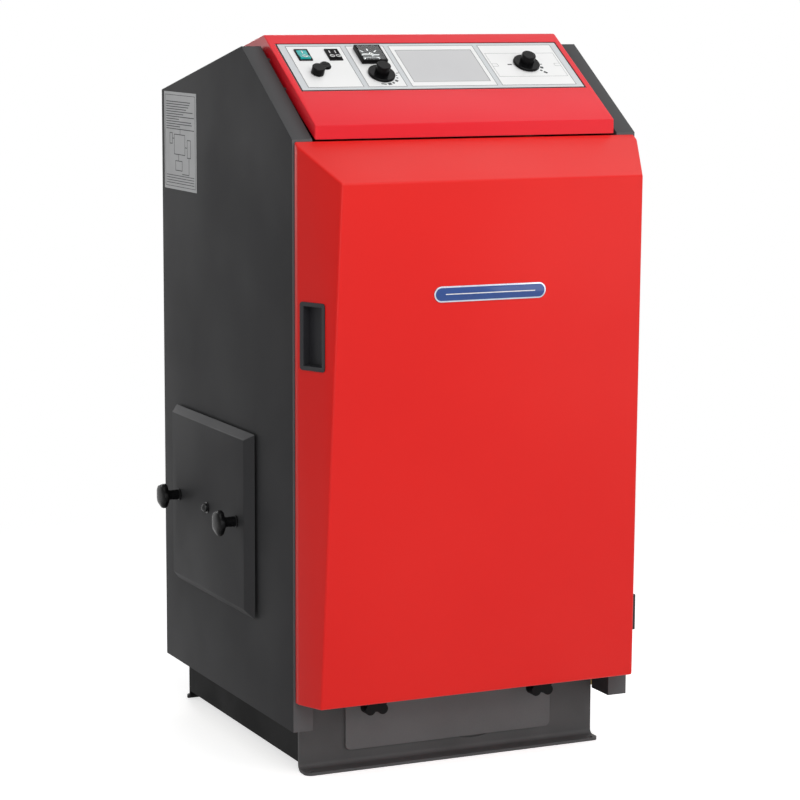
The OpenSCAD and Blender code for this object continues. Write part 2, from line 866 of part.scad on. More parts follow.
module grate() {
    grate_x = fire_in_x - fit_gap;
    slot_y = [body_in_front + brick_t * 2, fire_back - plate_t - brick_t * 2];
    slots = floor(2 * (grate_x - brick_t * 2) / (2 * grate_slot) / 2);
    color("#2c2a29") difference() {
        block([-grate_x, body_in_front + fit_gap, grate_z],
            [grate_x, fire_back - plate_t - fit_gap, grate_z + grate_t]);
        for (i = [-slots : slots])
            block([2 * i * grate_slot - grate_slot / 2, slot_y[0], grate_z - overrun],
                [2 * i * grate_slot + grate_slot / 2, slot_y[1], grate_z + grate_t + overrun]);
    }
}

module exchanger_tubes() {
    color("#454240") for (i = [0 : tube_count - 1]) difference() {
        rod_z(tube_r, tube_x(i), exchanger_y, sheet_low + plate_t, sheet_high);
        rod_z(tube_r - tube_wall, tube_x(i), exchanger_y, sheet_low, sheet_high + plate_t);
    }
}

// Zigzag strips hanging in the tubes from a crossbar each
module turbulators() {
    strip_top = sheet_high + plate_t + turb_bar_t;
    strip_l = strip_top - sheet_low - 4 * plate_t;
    step = strip_l / turb_steps;
    wave = [for (i = [0 : turb_steps])
        [i == 0 ? 0 : (i % 2 == 0 ? -1 : 1) * turb_swing / 2, strip_top - i * step]];
    color("#6b6865") for (i = [0 : tube_count - 1]) {
        translate([0, exchanger_y, 0])
            extrude_x(tube_x(i) - turb_w / 2, tube_x(i) + turb_w / 2)
                polygon(concat(
                    [for (p = wave) [p[0] - turb_t / 2, p[1]]],
                    [for (k = [turb_steps : -1 : 0]) [wave[k][0] + turb_t / 2, wave[k][1]]]
                ));
        block([tube_x(i) - tube_r, exchanger_y - turb_bar_w / 2, sheet_high + plate_t + seat_gap],
            [tube_x(i) + tube_r, exchanger_y + turb_bar_w / 2, strip_top]);
    }
}

module exchanger_lid() {
    low = body_top + seat_gap;
    grip_z = low + lid_t + lid_grip_h;
    color("#2e2e2f") translate([0, exchanger_y, 0]) {
        slab(lid_l, lid_d, low, low + lid_t);
        slab(lid_l - 6 * lid_lap, lid_d - 4 * lid_lap, low - lid_plug_t, low);
        both_sides() {
            rod_z(lid_grip_r, lid_grip_w / 2, 0, low + lid_t, grip_z);
            translate([lid_grip_w / 2, 0, grip_z]) sphere(r = lid_grip_r);
        }
        rod_x(lid_grip_r, 0, grip_z, -lid_grip_w / 2, lid_grip_w / 2);
    }
}

module flue_spigot() {
    color("#3b3b3c") difference() {
        union() {
            rod_y(flue_r, 0, flue_z, body_back, body_back + flue_l);
            rod_y(flue_r + flue_collar, 0, flue_z, body_back, body_back + flue_collar_t);
        }
        rod_y(flue_r - flue_wall, 0, flue_z, body_back - overrun, body_back + flue_l + overrun);
    }
}

// A threaded socket welded to the rear plate
module socket(x, z, r, bore, l) {
    difference() {
        rod_y(r, x, z, body_back, body_back + l);
        rod_y(bore, x, z, body_back - overrun, body_back + l + overrun);
    }
}

module water_sockets() {
    color("#8b8b86") {
        socket(-socket_x, flow_z, socket_r, socket_bore_r, socket_l);
        socket(socket_x, return_z, socket_r, socket_bore_r, socket_l);
        socket(-socket_x, drain_z, drain_r, drain_bore_r, socket_l);
        difference() {
            union() {
                rod_z(well_r, well_x, well_y, well_bottom, body_top + plate_t);
                rod_z(well_boss_r, well_x, well_y, body_top, body_top + well_boss_h);
            }
            rod_z(well_r - cap_wall, well_x, well_y,
                well_bottom + cap_wall, body_top + well_boss_h + overrun);
        }
    }
}

module cooling_loop() {
    leg_end = body_back + cool_out;
    bend_y = body_in_front + cool_front_gap;
    color("#b06a3b") {
        for (leg = [0, 1]) {
            rod_y(cool_r, socket_x, cool_z - leg * cool_pitch, bend_y, leg_end);
            rod_y(cool_end_r, socket_x, cool_z - leg * cool_pitch, leg_end, leg_end + cool_end_l);
        }
        intersection() {
            translate([socket_x, bend_y, cool_z - cool_pitch / 2]) rotate([0, 90, 0])
                rotate_extrude() translate([cool_pitch / 2, 0]) circle(r = cool_r);
            block([socket_x - 2 * cool_r, bend_y - cool_pitch, cool_z - 2 * cool_pitch],
                [socket_x + 2 * cool_r, bend_y, cool_z + cool_pitch]);
        }
    }
}

module casing_insulation() {
    wool_x = case_x - sheet_t;
    rear_in = case_d - sheet_t;
    color("#c8b65a") {
        difference() {
            block([-wool_x, wool_front, wool_bottom], [-body_x, body_in_back, body_top]);
            burner_block(-case_x, overrun - body_x, cover_hole_y / 2 + hole_gap,
                cover_hole_z / 2 + hole_gap);
            burner_block(-case_x, overrun - body_x, blank_w / 2 + hole_gap, blank_w / 2 + hole_gap);
        }
        block([body_x, wool_front, wool_bottom], [wool_x, body_in_back, body_top]);
        difference() {
            block([-inner_x + hole_gap, body_back, wool_bottom],
                [inner_x - hole_gap, rear_in, body_top]);
            rear_holes(body_back - overrun, case_d + overrun, hole_gap);
        }
        difference() {
            block([-body_x + hole_gap, body_in_front + hole_gap, body_top],
                [body_x - hole_gap, exchanger_y - lid_d / 2 - 2 * hole_gap, body_top + wool_top_t]);
            rod_z(well_boss_r + hole_gap, well_x, well_y,
                body_top - overrun, body_top + wool_top_t + overrun);
        }
    }
}

// The holes for everything that leaves the boiler at the back
module rear_holes(from, to, gap) {
    rod_y(flue_r + flue_collar + gap, 0, flue_z, from, to);
    rod_y(socket_r + gap, -socket_x, flow_z, from, to);
    rod_y(socket_r + gap, socket_x, return_z, from, to);
    rod_y(drain_r + gap, -socket_x, drain_z, from, to);
    for (leg = [0, 1])
        rod_y(cool_end_r + gap, socket_x, cool_z - leg * cool_pitch, from, to);
}

// Casing

// How far the ridge of an inner face lies behind the outer one, at thickness t
function ridge_shift(t, slope) =
    t * (1 / cos(slope) - 1 / cos(rear_slope)) / (tan(slope) + tan(rear_slope));

// The left side panel's shell with its folded flanges
module side_shell() {
    foot = [0, front_top];
    peak = [ridge_back, ridge_top];
    tail = [case_d, rear_top];
    front_t = sheet_t / cos(front_slope);
    rear_t = sheet_t / cos(rear_slope);
    shift = ridge_shift(sheet_t, front_slope);
    extrude_x(-case_x, sheet_t - case_x)
        polygon([[0, case_bottom], foot, peak, tail, [case_d, case_bottom]]);
    extrude_x(-case_x, -inner_x) polygon([
        [0, case_bottom], foot, peak, tail, [case_d, case_bottom], [case_d - sheet_t, case_bottom],
        [case_d - sheet_t, rear_top + sheet_t * tan(rear_slope) - rear_t],
        [ridge_back + shift, ridge_top + shift * tan(front_slope) - front_t],
        [sheet_t, front_top + sheet_t * tan(front_slope) - front_t], [sheet_t, case_bottom]
    ]);
    extrude_x(-inner_x - sheet_t, -inner_x) polygon([
        [0, case_bottom], foot, peak, tail, [case_d, rear_top - strip_lip_d],
        [ridge_back, ridge_top - strip_lip_d],
        [lip_d, front_top + lip_d * tan(front_slope) - strip_lip_d], [lip_d, case_bottom]
    ]);
}

module left_side_panel() {
    color("#3f3f40") difference() {
        side_shell();
        burner_block(-case_x - overrun, overrun + sheet_t - case_x, cover_hole_y / 2, cover_hole_z / 2);
    }
}

module right_side_panel() {
    color("#3f3f40") mirror([1, 0, 0]) side_shell();
}

module rear_panel() {
    edge = inner_x - fit_gap;
    color("#3f3f40") difference() {
        block([-edge, case_d - sheet_t, case_bottom], [edge, case_d, rear_top - top_cover_hem]);
        rear_holes(case_d - 2 * sheet_t, case_d + sheet_t, hole_gap);
    }
}

// The sheet lying on the rear slope behind the hood, with a hem over the rear panel
module rear_top_cover() {
    lift = seat_gap / cos(rear_slope);
    t = sheet_t / cos(rear_slope);
    start = [hood_end_y + fit_gap, ridge_top - (hood_rear_l + fit_gap) * tan(rear_slope) + lift];
    hem_y = case_d + seat_gap;
    hem_z = rear_top + lift;
    hem = [hem_y + sheet_t, hem_z - sheet_t * tan(rear_slope)];
    edge = inner_x + top_cover_lap;
    color("#3f3f40") {
        extrude_x(-edge, edge)
            polygon([start, hem, hem + [0, t], start + [0, t]]);
        block([-edge, hem_y, hem_z - top_cover_hem * 2], [edge, hem_y + sheet_t, hem_z + t]);
    }
}

// The hood's outline in Y and Z, shrunk by t on top and running down below its edge by d
function hood_outline(t, d) = [
    [t, hood_lip_low - d],
    [t, hood_lip_top - t / cos(hood_slope) + t * tan(hood_slope)],
    [ridge_back + ridge_shift(t, hood_slope),
        hood_ridge - t / cos(hood_slope) + ridge_shift(t, hood_slope) * tan(hood_slope)],
    [hood_end_y - t, hood_end_z - t / cos(rear_slope) + t * tan(rear_slope)],
    [hood_end_y - t, hood_end_z - hood_side_d - d],
    [ridge_back, hood_ridge - hood_side_d - d]
];

module hood() {
    color("#e8404f") {
        difference() {
            extrude_x(-hood_x, hood_x) polygon(hood_outline(0, 0));
            extrude_x(sheet_t - hood_x, hood_x - sheet_t) polygon(hood_outline(sheet_t, overrun));
            on_face([0, fascia_mid], -fascia_t)
                slab(fascia_w + 2 * fascia_gap, fascia_h + 2 * fascia_gap, 0, 2 * fascia_t);
        }
        both_sides() for (y = hood_clip_shares * ridge_back)
            rod_x(hood_clip_r, y, front_top + y * tan(front_slope) - hood_clip_drop,
                hood_x, inner_x - seat_gap);
    }
}

// Fascia

module fascia() {
    color("#cfd1d2") on_face([0, fascia_mid]) difference() {
        union() {
            slab(fascia_w, fascia_h, -fascia_t, 0);
            slab(fascia_w + 2 * fascia_rim, fascia_h + 2 * fascia_rim, -fascia_t, -sheet_t - run_gap);
        }
        for (i = [0 : 3])
            block([panel_left(i) - run_gap, -panel_h / 2 - run_gap, -panel_pocket],
                [panel_left(i) + panel_ws[i] + run_gap, panel_h / 2 + run_gap, overrun]);
        control_cuts(-fascia_t - overrun, overrun, fascia_mid);
    }
}

// Openings for the controls, from depth a to height b, on a plate centred at up
module control_cuts(a, b, up) {
    for (p = [power_place, pump_place])
        translate([p[0], p[1] - up, 0])
            slab(switch_w - 2 * switch_lap, switch_h - 2 * switch_lap, a, b);
    for (p = [[safety_place, bush_r], [fuse_place, fuse_r - cap_wall], [gauge_place, gauge_neck_r],
            [boiler_knob_place, stat_bush_r], [flue_knob_place, stat_bush_r]])
        translate([p[0][0], p[0][1] - up, 0]) post(p[1] + seat_gap, a, b);
}

// One white plate, with the controls' openings
module white_plate(i) {
    color("#f2f2f0") on_face([0, fascia_mid], -panel_pocket) difference() {
        block([panel_left(i), -panel_h / 2, 0], [panel_left(i) + panel_ws[i], panel_h / 2, panel_t]);
        children();
    }
}

module switch_plate() {
    white_plate(0) control_cuts(-overrun, 2 * panel_t, fascia_mid);
}

module thermometer_plate() {
    white_plate(1) control_cuts(-overrun, 2 * panel_t, fascia_mid);
}

module controller_plate() {
    white_plate(2) translate([panel_mid(2), 0, 0])
        slab(window_w + 2 * run_gap, window_h + 2 * run_gap, -overrun, 2 * panel_t);
}

module controller_window() {
    color("#c4c6c8") on_face([panel_mid(2), fascia_mid], -panel_pocket)
        slab(window_w, window_h, 0, panel_t - seat_gap);
}

module thermostat_plate() {
    white_plate(3) control_cuts(-overrun, 2 * panel_t, fascia_mid);
}

// Height of the white plates' faces above the hood's face
plate_face = panel_t - panel_pocket;

// A switch housing: a bezel on the plate and a hollow body behind it
module switch_housing() {
    difference() {
        union() {
            slab(switch_w, switch_h, 0, switch_proud);
            slab(switch_w - 2 * switch_lap - 2 * run_gap, switch_h - 2 * switch_lap - 2 * run_gap,
                -switch_depth, 0);
        }
        slab(switch_in_w, switch_in_h, -rocker_drop - rocker_r - fit_gap, switch_proud + overrun);
        rod_x(rocker_pin_r + run_gap, 0, -rocker_drop,
            -switch_in_w / 2 - rocker_ear, switch_in_w / 2 + rocker_ear);
    }
}

module switch_housings() {
    color("#161616") {
        on_face(power_place, plate_face) switch_housing();
        on_face(pump_place, plate_face) switch_housing();
    }
}

// A rocker of width w: a shallow V on top, a round belly below, pivot pins at its sides
module rocker(w) {
    rotate([-rocker_angle / 2, 0, 0]) {
        intersection() {
            rod_x(rocker_r, 0, 0, -w / 2, w / 2);
            extrude_x(-w / 2, w / 2) polygon([
                [-rocker_r, -rocker_r / 2], [rocker_r, -rocker_r / 2],
                [rocker_r, rocker_drop + rocker_rise], [0, rocker_drop + rocker_dip],
                [-rocker_r, rocker_drop + rocker_rise]
            ]);
        }
    }
}

// Pivot pins from a rocker's side at x to the housing's wall
module rocker_pin(from, to) {
    rod_x(rocker_pin_r, 0, 0, from, to);
}

module power_rocker() {
    reach = switch_in_w / 2 + rocker_ear - fit_gap;
    color("#0f9fa0") on_face(power_place, plate_face - rocker_drop) {
        rocker(switch_in_w - 2 * fit_gap);
        rocker_pin(-reach, reach);
    }
}

// Half-width rocker of the pump switch, on its left (-1) or right (1) half
module pump_rocker(side) {
    w = switch_in_w / 2 - 1.5 * fit_gap;
    mid = side * (switch_in_w / 4 - fit_gap / 4);
    ear = side * (switch_in_w / 2 + rocker_ear - fit_gap);
    color("#131313") on_face(pump_place, plate_face - rocker_drop) {
        translate([mid, 0, 0]) rocker(w);
        rocker_pin(min(mid, ear), max(mid, ear));
    }
}

module left_pump_rocker() {
    pump_rocker(-1);
}

module right_pump_rocker() {
    pump_rocker(1);
}

module safety_thermostat() {
    color("#8f8f8c") on_face(safety_place) difference() {
        union() {
            post(stat_r, -fascia_t - stat_depth, -fascia_t - seat_gap);
            post(bush_r, -fascia_t - overrun, bush_h);
            post(nut_r, plate_face, plate_face + nut_t);
        }
        post(reset_r + run_gap, -reset_h, bush_h + overrun);
    }
}

module reset_button() {
    color("#b33a30") on_face(safety_place, bush_h - reset_h + reset_travel)
        cylinder(r = reset_r, h = reset_h);
}

module safety_cap() {
    color("#131313") on_face(safety_place, plate_face + seat_gap) difference() {
        chamfered_disc(safety_r, safety_h, knob_chamfer);
        post(nut_r + fit_gap, -overrun, nut_t + fit_gap);
        post(bush_r + run_gap, 0, safety_h - cap_wall);
    }
}

module fuse_holder() {
    inner = fuse_r - cap_wall;
    color("#1c1c1c") on_face(fuse_place) difference() {
        union() {
            post(inner, -switch_depth, plate_face);
            post(fuse_r, plate_face, plate_face + fuse_flange_t);
        }
        post(bush_r, cap_wall - switch_depth, plate_face + 2 * cap_wall);
    }
}

module fuse_cap() {
    cap_t = fuse_h - fuse_flange_t;
    color("#161616") on_face(fuse_place, plate_face + fuse_flange_t + seat_gap) {
        difference() {
            chamfered_disc(fuse_r - knob_chamfer, cap_t, knob_chamfer);
            slab(fuse_r, fuse_slot_w, cap_t - fuse_slot_d, fuse_h);
        }
        post(bush_r - run_gap, -fuse_r, knob_chamfer);
    }
}

module thermometer() {
    color("#1b1b1c") on_face(gauge_place, plate_face) {
        difference() {
            slab(gauge_w, gauge_w, 0, gauge_h);
            slab(gauge_w - 2 * gauge_wall, gauge_w - 2 * gauge_wall, gauge_floor, gauge_h + overrun);
        }
        post(gauge_neck_r, -gauge_neck_l, 0);
        cylinder(r = pointer_pin_r, h = gauge_floor + pointer_pin_h);
    }
}

module thermometer_pointer() {
    color("#f4f4f2") on_face(gauge_place, plate_face + gauge_floor + pointer_lift) difference() {
        union() {
            cylinder(r = pointer_hub_r, h = 2 * pointer_t);
            rotate([0, 0, pointer_rest])
                block([-pointer_w / 2, -pointer_tail, 0], [pointer_w / 2, pointer_l, pointer_t]);
        }
        post(pointer_pin_r + run_gap, -overrun, overrun + 2 * pointer_t);
    }
}

module thermometer_lens() {
    w = gauge_w - 2 * gauge_wall - 2 * run_gap;
    color("#dfe8ec", 0.4) on_face(gauge_place, plate_face + gauge_h - lens_t) slab(w, w, 0, lens_t);
}

// A thermostat's body, bush and shaft
module thermostat_body() {
    post(stat_r, -fascia_t - stat_depth, -fascia_t - seat_gap);
    post(stat_bush_r, -fascia_t - overrun, plate_face);
    cylinder(r = shaft_r, h = shaft_h);
}

module thermostat_bodies() {
    color("#7c7c7a") {
        on_face(boiler_knob_place) thermostat_body();
        on_face(flue_knob_place) thermostat_body();
    }
}

// A thermostat knob: a thin disc, a round grip and a pointer rib
module thermostat_knob() {
    difference() {
        union() {
            chamfered_disc(knob_r, knob_disc_t, knob_chamfer);
            chamfered_disc(knob_grip_r, knob_h, knob_chamfer);
            block([-knob_rib_w / 2, 0, knob_chamfer],
                [knob_rib_w / 2, knob_r - knob_rib_end, knob_disc_t + knob_rib_h]);
        }
        post(shaft_r + run_gap, -overrun, shaft_h);
    }
}

module boiler_thermostat_knob() {
    color("#141414") on_face(boiler_knob_place, plate_face + seat_gap) thermostat_knob();
}

module flue_thermostat_knob() {
    color("#141414") on_face(flue_knob_place, plate_face + seat_gap) thermostat_knob();
}

// Front door

// The door's outer form, shrunk by t on every side but with its back kept at the given Y
module door_form(t, back) {
    side_shift = t / cos(door_side_tilt);
    top_shift = t / cos(door_top_slope);
    edge_y = -door_edge_d + (side_shift - t) / tan(door_side_tilt);
    tip_x = door_face_x - side_shift;
    intersection() {
        extrude_x(t - door_x, door_x - t) polygon([
            [back, door_bottom + t],
            [t - door_bottom_proud, door_bottom + t],
            [t - door_top_proud, door_bevel_z - top_shift + t * tan(door_top_slope)],
            [back, door_top - top_shift - (door_back - back) * tan(door_top_slope)]
        ]);
        extrude_z(door_bottom, door_top) polygon([
            [t - door_x, back], [t - door_x, edge_y], [-tip_x, -door_top_proud],
            [tip_x, -door_top_proud], [door_x - t, edge_y], [door_x - t, back]
        ]);
    }
}

module front_door_skin() {
    rim_x = door_x - door_rim;
    color("#e03a32") difference() {
        door_form(0, door_back);
        door_form(door_t, door_back - door_t);
        block([-rim_x, door_back - 2 * door_t, door_bottom + door_rim],
            [rim_x, door_back + overrun, door_top - door_rim]);
        on_bevel() block([cup_rim - cup_w / 2 - run_gap, -2 * door_t, cup_rim - cup_h / 2 - run_gap],
            [cup_w / 2 - cup_rim + run_gap, 2 * door_t, cup_h / 2 - cup_rim + run_gap]);
    }
}

module front_door_pan() {
    pan_edge = door_x - door_t - fit_gap;
    pan_back = door_back - door_t - run_gap;
    color("#6d6e70")
        block([-pan_edge, pan_back - door_t, door_bottom + door_t + fit_gap],
            [pan_edge, pan_back, door_top - door_rim / 2]);
}

module front_door_insulation() {
    wool_back = door_back - 2 * door_t - 2 * run_gap;
    wool_edge = door_x - 3 * door_rim;
    color("#d8d2bf")
        block([-wool_edge, wool_back - door_wool_t, door_bottom + door_rim],
            [wool_edge, wool_back, door_top - 2 * door_rim]);
}

module door_handle_cup() {
    in_w = cup_w / 2 - cup_rim;
    in_h = cup_h / 2 - cup_rim;
    color("#1d1d1f") on_bevel() difference() {
        union() {
            rotate([90, 0, 0]) translate([0, 0, run_gap])
                rounded_plate(cup_w, cup_h, cup_flange_t, cup_corner_r);
            block([-in_w, -run_gap, -in_h], [in_w, cup_d, in_h]);
        }
        block([cup_wall - in_w, -2 * cup_flange_t, cup_wall - in_h],
            [in_w - cup_wall, cup_d - cup_wall, in_h - cup_wall]);
    }
}

// The moving leaves and knuckles on the door's right edge
module door_hinge_leaves() {
    color("#5b2724") for (z = hinge_zs) {
        low = z + hinge_h / 2 + fit_gap;
        difference() {
            union() {
                rod_z(hinge_r, hinge_x, hinge_y, low, z + hinge_h);
                block([door_x, -door_edge_d, low], [door_x + hinge_leaf_t, hinge_y, z + hinge_h]);
                block([door_x, hinge_y - hinge_leaf_t, low], [hinge_x, hinge_y, z + hinge_h]);
            }
            rod_z(hinge_pin_r + run_gap, hinge_x, hinge_y, low - overrun, z + hinge_h - hinge_leaf_t);
        }
    }
}

// The fixed leaves on the right side panel, with their pins
module door_hinge_pins() {
    color("#3a3a3b") for (z = hinge_zs) {
        rod_z(hinge_r, hinge_x, hinge_y, z, z + hinge_h / 2);
        rod_z(hinge_pin_r, hinge_x, hinge_y, z, z + hinge_h - 2 * hinge_leaf_t);
        block([case_x, hinge_y, z], [case_x + hinge_leaf_t, hinge_leaf_l, z + hinge_h / 2]);
    }
}

// Magnetic catches on the left flange's lip, and rubber buffers on the flanges
module door_catches() {
    face_y = door_back + seat_gap;
    color("#262627") {
        for (z = catch_zs)
            block([-inner_x, face_y, z], [catch_w - inner_x, face_y + catch_d, z + catch_h]);
        both_sides() for (z = buffer_zs)
            rod_y(buffer_r, case_x - flange_w / 2, z, face_y, 0);
    }
}

// Loading door

module loading_door() {
    seal_back = body_front - fit_gap;
    color("#2d2d2e") {
        block([-load_plate_x, load_plate_y, load_bottom - load_lap],
            [load_plate_x, load_plate_y + load_t, load_top + load_lap]);
        difference() {
            block([-load_x - load_seal_w, load_plate_y + load_t, load_bottom - load_seal_w],
                [load_x + load_seal_w, seal_back, load_top + load_seal_w]);
            block([-load_x, load_plate_y, load_bottom], [load_x, seal_back + overrun, load_top]);
        }
        for (z = load_knuckle_zs) loading_knuckle(z + load_knuckle_h + fit_gap);
        rod_y(handle_bore_r, handle_x, handle_z, handle_front - handle_gap, load_plate_y);
        rod_y(washer_r, handle_x, handle_z, handle_front - handle_gap - washer_t,
            handle_front - handle_gap);
    }
}

// A knuckle on the loading door, on an arm from its plate
module loading_knuckle(low) {
    high = low + load_knuckle_h;
    difference() {
        union() {
            rod_z(load_knuckle_r, load_hinge_x, load_hinge_y, low, high);
            block([load_plate_x, load_plate_y, low], [load_hinge_x, load_plate_y + load_arm_t, high]);
        }
        rod_z(load_pin_r + run_gap, load_hinge_x, load_hinge_y, low - overrun, high + overrun);
    }
}

module loading_door_block() {
    front = load_plate_y + load_t + run_gap;
    color("#cfc3ab")
        block([load_block_swing_gap - load_x, front, load_bottom + load_block_gap],
            [load_x - load_block_hinge_gap, front + load_block_d, load_top - load_block_gap]);
}

// The lever hangs down at rest; its hook swings behind the keeper when turned
module loading_door_handle() {
    lever_end = handle_z - lever_l;
    color("#1a1a1a") difference() {
        union() {
            rod_y(handle_hub_r, handle_x, handle_z, handle_front, handle_back);
            block([handle_x - lever_w / 2, handle_front, lever_end],
                [handle_x + lever_w / 2, handle_back, handle_z + hook_l]);
            rod_y(grip_r, handle_x, lever_end, handle_back - grip_l, handle_back);
        }
        rod_y(handle_bore_r + run_gap, handle_x, handle_z, handle_front - overrun, handle_back + overrun);
    }
}

// Hinge brackets and the handle's keeper, welded to the front plate
module loading_door_hinge() {
    lip_back = handle_front - keeper_gap;
    post_x = handle_x - hook_l - keeper_gap;
    color("#3b3b3c") {
        for (z = load_knuckle_zs) {
            rod_z(load_knuckle_r, load_hinge_x, load_hinge_y, z, z + load_knuckle_h);
            rod_z(load_pin_r, load_hinge_x, load_hinge_y, z, z + 2 * load_knuckle_h);
            block([load_hinge_x, load_hinge_y, z],
                [load_hinge_x + load_knuckle_r, body_front, z + load_knuckle_h]);
        }
        block([post_x - keeper_t, lip_back - keeper_t, handle_z - keeper_w / 2],
            [post_x, body_front, handle_z + keeper_w / 2]);
        block([post_x, lip_back - keeper_t, handle_z - keeper_w / 2],
            [post_x + 3 * keeper_t, lip_back, handle_z + keeper_w / 2]);
    }
}

// Ash door

module ash_cover() {
    mid_z = ash_cover_bottom + ash_cover_h / 2;
    plug_x = ash_x - ash_plug_gap;
    color("#555657") difference() {
        union() {
            translate([0, ash_cover_back, mid_z]) rotate([90, 0, 0])
                rounded_plate(ash_cover_w, ash_cover_h, ash_cover_t, ash_corner_r);
            block([-plug_x, ash_cover_back, floor_top + ash_plug_gap],
                [plug_x, ash_cover_back + ash_plug_d, ash_top - ash_plug_gap]);
            difference() {
                block([fit_gap - ash_x, ash_cover_back, floor_top + fit_gap],
                    [ash_x - fit_gap, ash_cover_back + ash_rope_d, ash_top - fit_gap]);
                block([-plug_x, ash_cover_back - overrun, floor_top + ash_plug_gap],
                    [plug_x, body_back, ash_top - ash_plug_gap]);
            }
        }
        both_sides()
            rod_y(star_stud_r + fit_gap, star_x, star_z,
                ash_cover_front - overrun, ash_cover_back + overrun);
    }
}

// A lobed knob on a stem, screwed on a stud
module star_knob(x) {
    head_back = star_front + star_head_l;
    color("#121212") difference() {
        union() {
            rod_y(star_r - star_lobe_r, x, star_z, star_front, head_back);
            for (i = [0 : star_lobes - 1])
                rod_y(star_lobe_r, x + (star_r - star_lobe_r) * sin(i * 360 / star_lobes),
                    star_z + (star_r - star_lobe_r) * cos(i * 360 / star_lobes), star_front, head_back);
            rod_y(star_stem_r, x, star_z, star_front, star_front + star_l);
        }
        rod_y(star_stud_r + run_gap, x, star_z, star_front + star_l - star_bore_depth - overrun,
            star_front + star_l + overrun);
    }
}

module ash_cover_left_knob() {
    star_knob(-star_x);
}

module ash_cover_right_knob() {
    star_knob(star_x);
}

module ash_pan() {
    color("#77736e") {
        difference() {
            block([-pan_x, pan_front, pan_bottom], [pan_x, pan_front + pan_d, pan_bottom + pan_h]);
            block([pan_t - pan_x, pan_front + pan_t, pan_bottom + pan_t],
                [pan_x - pan_t, pan_front + pan_d - pan_t, pan_bottom + pan_h + overrun]);
        }
        both_sides() rod_y(pan_grip_r, pan_grip_w / 2, pan_grip_z, pan_front - pan_grip_d, pan_front);
        rod_x(pan_grip_r, pan_front - pan_grip_d, pan_grip_z,
            -pan_grip_w / 2 - pan_grip_r, pan_grip_w / 2 + pan_grip_r);
    }
}

// Side cover

// The cover's bevelled form, shrunk by t, standing out from the side panel
module cover_form(t) {
    low = cover_gap;
    face = cover_face - t;
    side_in = cover_bevel_in;
    half = cover_l / 2 - t;
    up = cover_up - t;
    down = cover_down - t;
    intersection() {
        translate([0, burner_y + half, 0]) rotate([90, 0, 0]) linear_extrude(2 * half)
            polygon([
                [-case_x - low, burner_z - down], [-case_x - face, burner_z - down + side_in],
                [-case_x - face, burner_z + up - cover_bevel_top], [-case_x - low, burner_z + up]
            ]);
        extrude_z(burner_z - down, burner_z + up) polygon([
            [-case_x - low, burner_y - half], [-case_x - face, burner_y - half + side_in],
            [-case_x - face, burner_y + half - side_in], [-case_x - low, burner_y + half]
        ]);
    }
}

// The pressed cover, open towards the side panel
module side_cover() {
    color("#3e3e3f") difference() {
        cover_form(0);
        cover_form(sheet_t);
        for (y = cover_ys)
            rod_x(cover_stud_r + fit_gap, y, burner_z, -case_x - cover_face - overrun, overrun - case_x);
        rod_x(bolt_r + run_gap, burner_y, burner_z, -case_x - cover_face - overrun, overrun - case_x);
    }
}

// The black sealing frame glued in the cover, which stands on the side panel round its opening
module side_cover_gasket() {
    inset = cover_bevel_in + 2 * sheet_t;
    edge = cover_l / 2 - inset;
    low = burner_z - cover_down + inset;
    high = burner_z + cover_up - inset;
    color("#141414") difference() {
        block([sheet_t - case_x - cover_face, burner_y - edge, low],
            [-case_x - seat_gap, burner_y + edge, high]);
        block([-case_x - cover_face, burner_y - edge + gasket_w, low + gasket_w],
            [overrun - case_x, burner_y + edge - gasket_w, high - gasket_w]);
    }
}

// A mushroom-shaped knob screwed on a stud through the cover
module cover_knob(y) {
    color("#101010") on_left_side(y, burner_z) difference() {
        union() {
            post(cover_stem_r, cover_face + seat_gap, cover_face + cover_knob_l - cover_knob_t);
            translate([0, 0, cover_face + cover_knob_l - cover_knob_t])
                chamfered_disc(cover_knob_r, cover_knob_t, cover_knob_chamfer);
        }
        cylinder(r = cover_stud_r + run_gap, h = cover_stud_end + seat_gap);
    }
}

module side_cover_front_knob() {
    cover_knob(cover_ys[0]);
}

module side_cover_rear_knob() {
    cover_knob(cover_ys[1]);
}

// The domed cap nut at the cover's centre, with its washer and bolt
module side_cover_cap_nut() {
    bolt_start = blank_seat - case_x + seat_gap;
    color("#1b1b1b") on_left_side(burner_y, burner_z) {
        post(cap_washer_r, cover_face + run_gap, cover_face + sheet_t);
        post(cap_nut_r, cover_face + sheet_t, cover_face + sheet_t + cap_nut_h - cap_nut_r);
        intersection() {
            translate([0, 0, cover_face + sheet_t + cap_nut_h - cap_nut_r]) sphere(r = cap_nut_r);
            post(cap_nut_r, cover_face + sheet_t, cover_face + sheet_t + cap_nut_h);
        }
        post(bolt_r, bolt_start, cover_face + sheet_t);
    }
}

// The blanking plate and its insulating plug, bolted behind the side cover
module burner_blanking_plate() {
    seat = -blank_seat - seat_gap;
    plug_half = burner_w / 2 - burner_wall - blank_plug_gap;
    color("#7a7672") difference() {
        union() {
            burner_block(seat - blank_t, seat, blank_w / 2, blank_w / 2);
            burner_block(seat, seat + blank_plug, plug_half, plug_half);
        }
        rod_x(bolt_r + run_gap, burner_y, burner_z, seat - blank_t - overrun, seat + overrun);
    }
}

// The square burner duct through the water space, with the two cover studs
module burner_flange() {
    outer = burner_w / 2 - seat_gap;
    duct = burner_w / 2 - burner_wall;
    color("#4a4745") {
        difference() {
            burner_block(-blank_seat, -fire_in_x, outer, outer);
            burner_block(-blank_seat - overrun, overrun - fire_in_x, duct, duct);
        }
        for (y = cover_ys)
            rod_x(cover_stud_r, y, burner_z, -case_x - cover_stud_end, -body_x);
    }
}

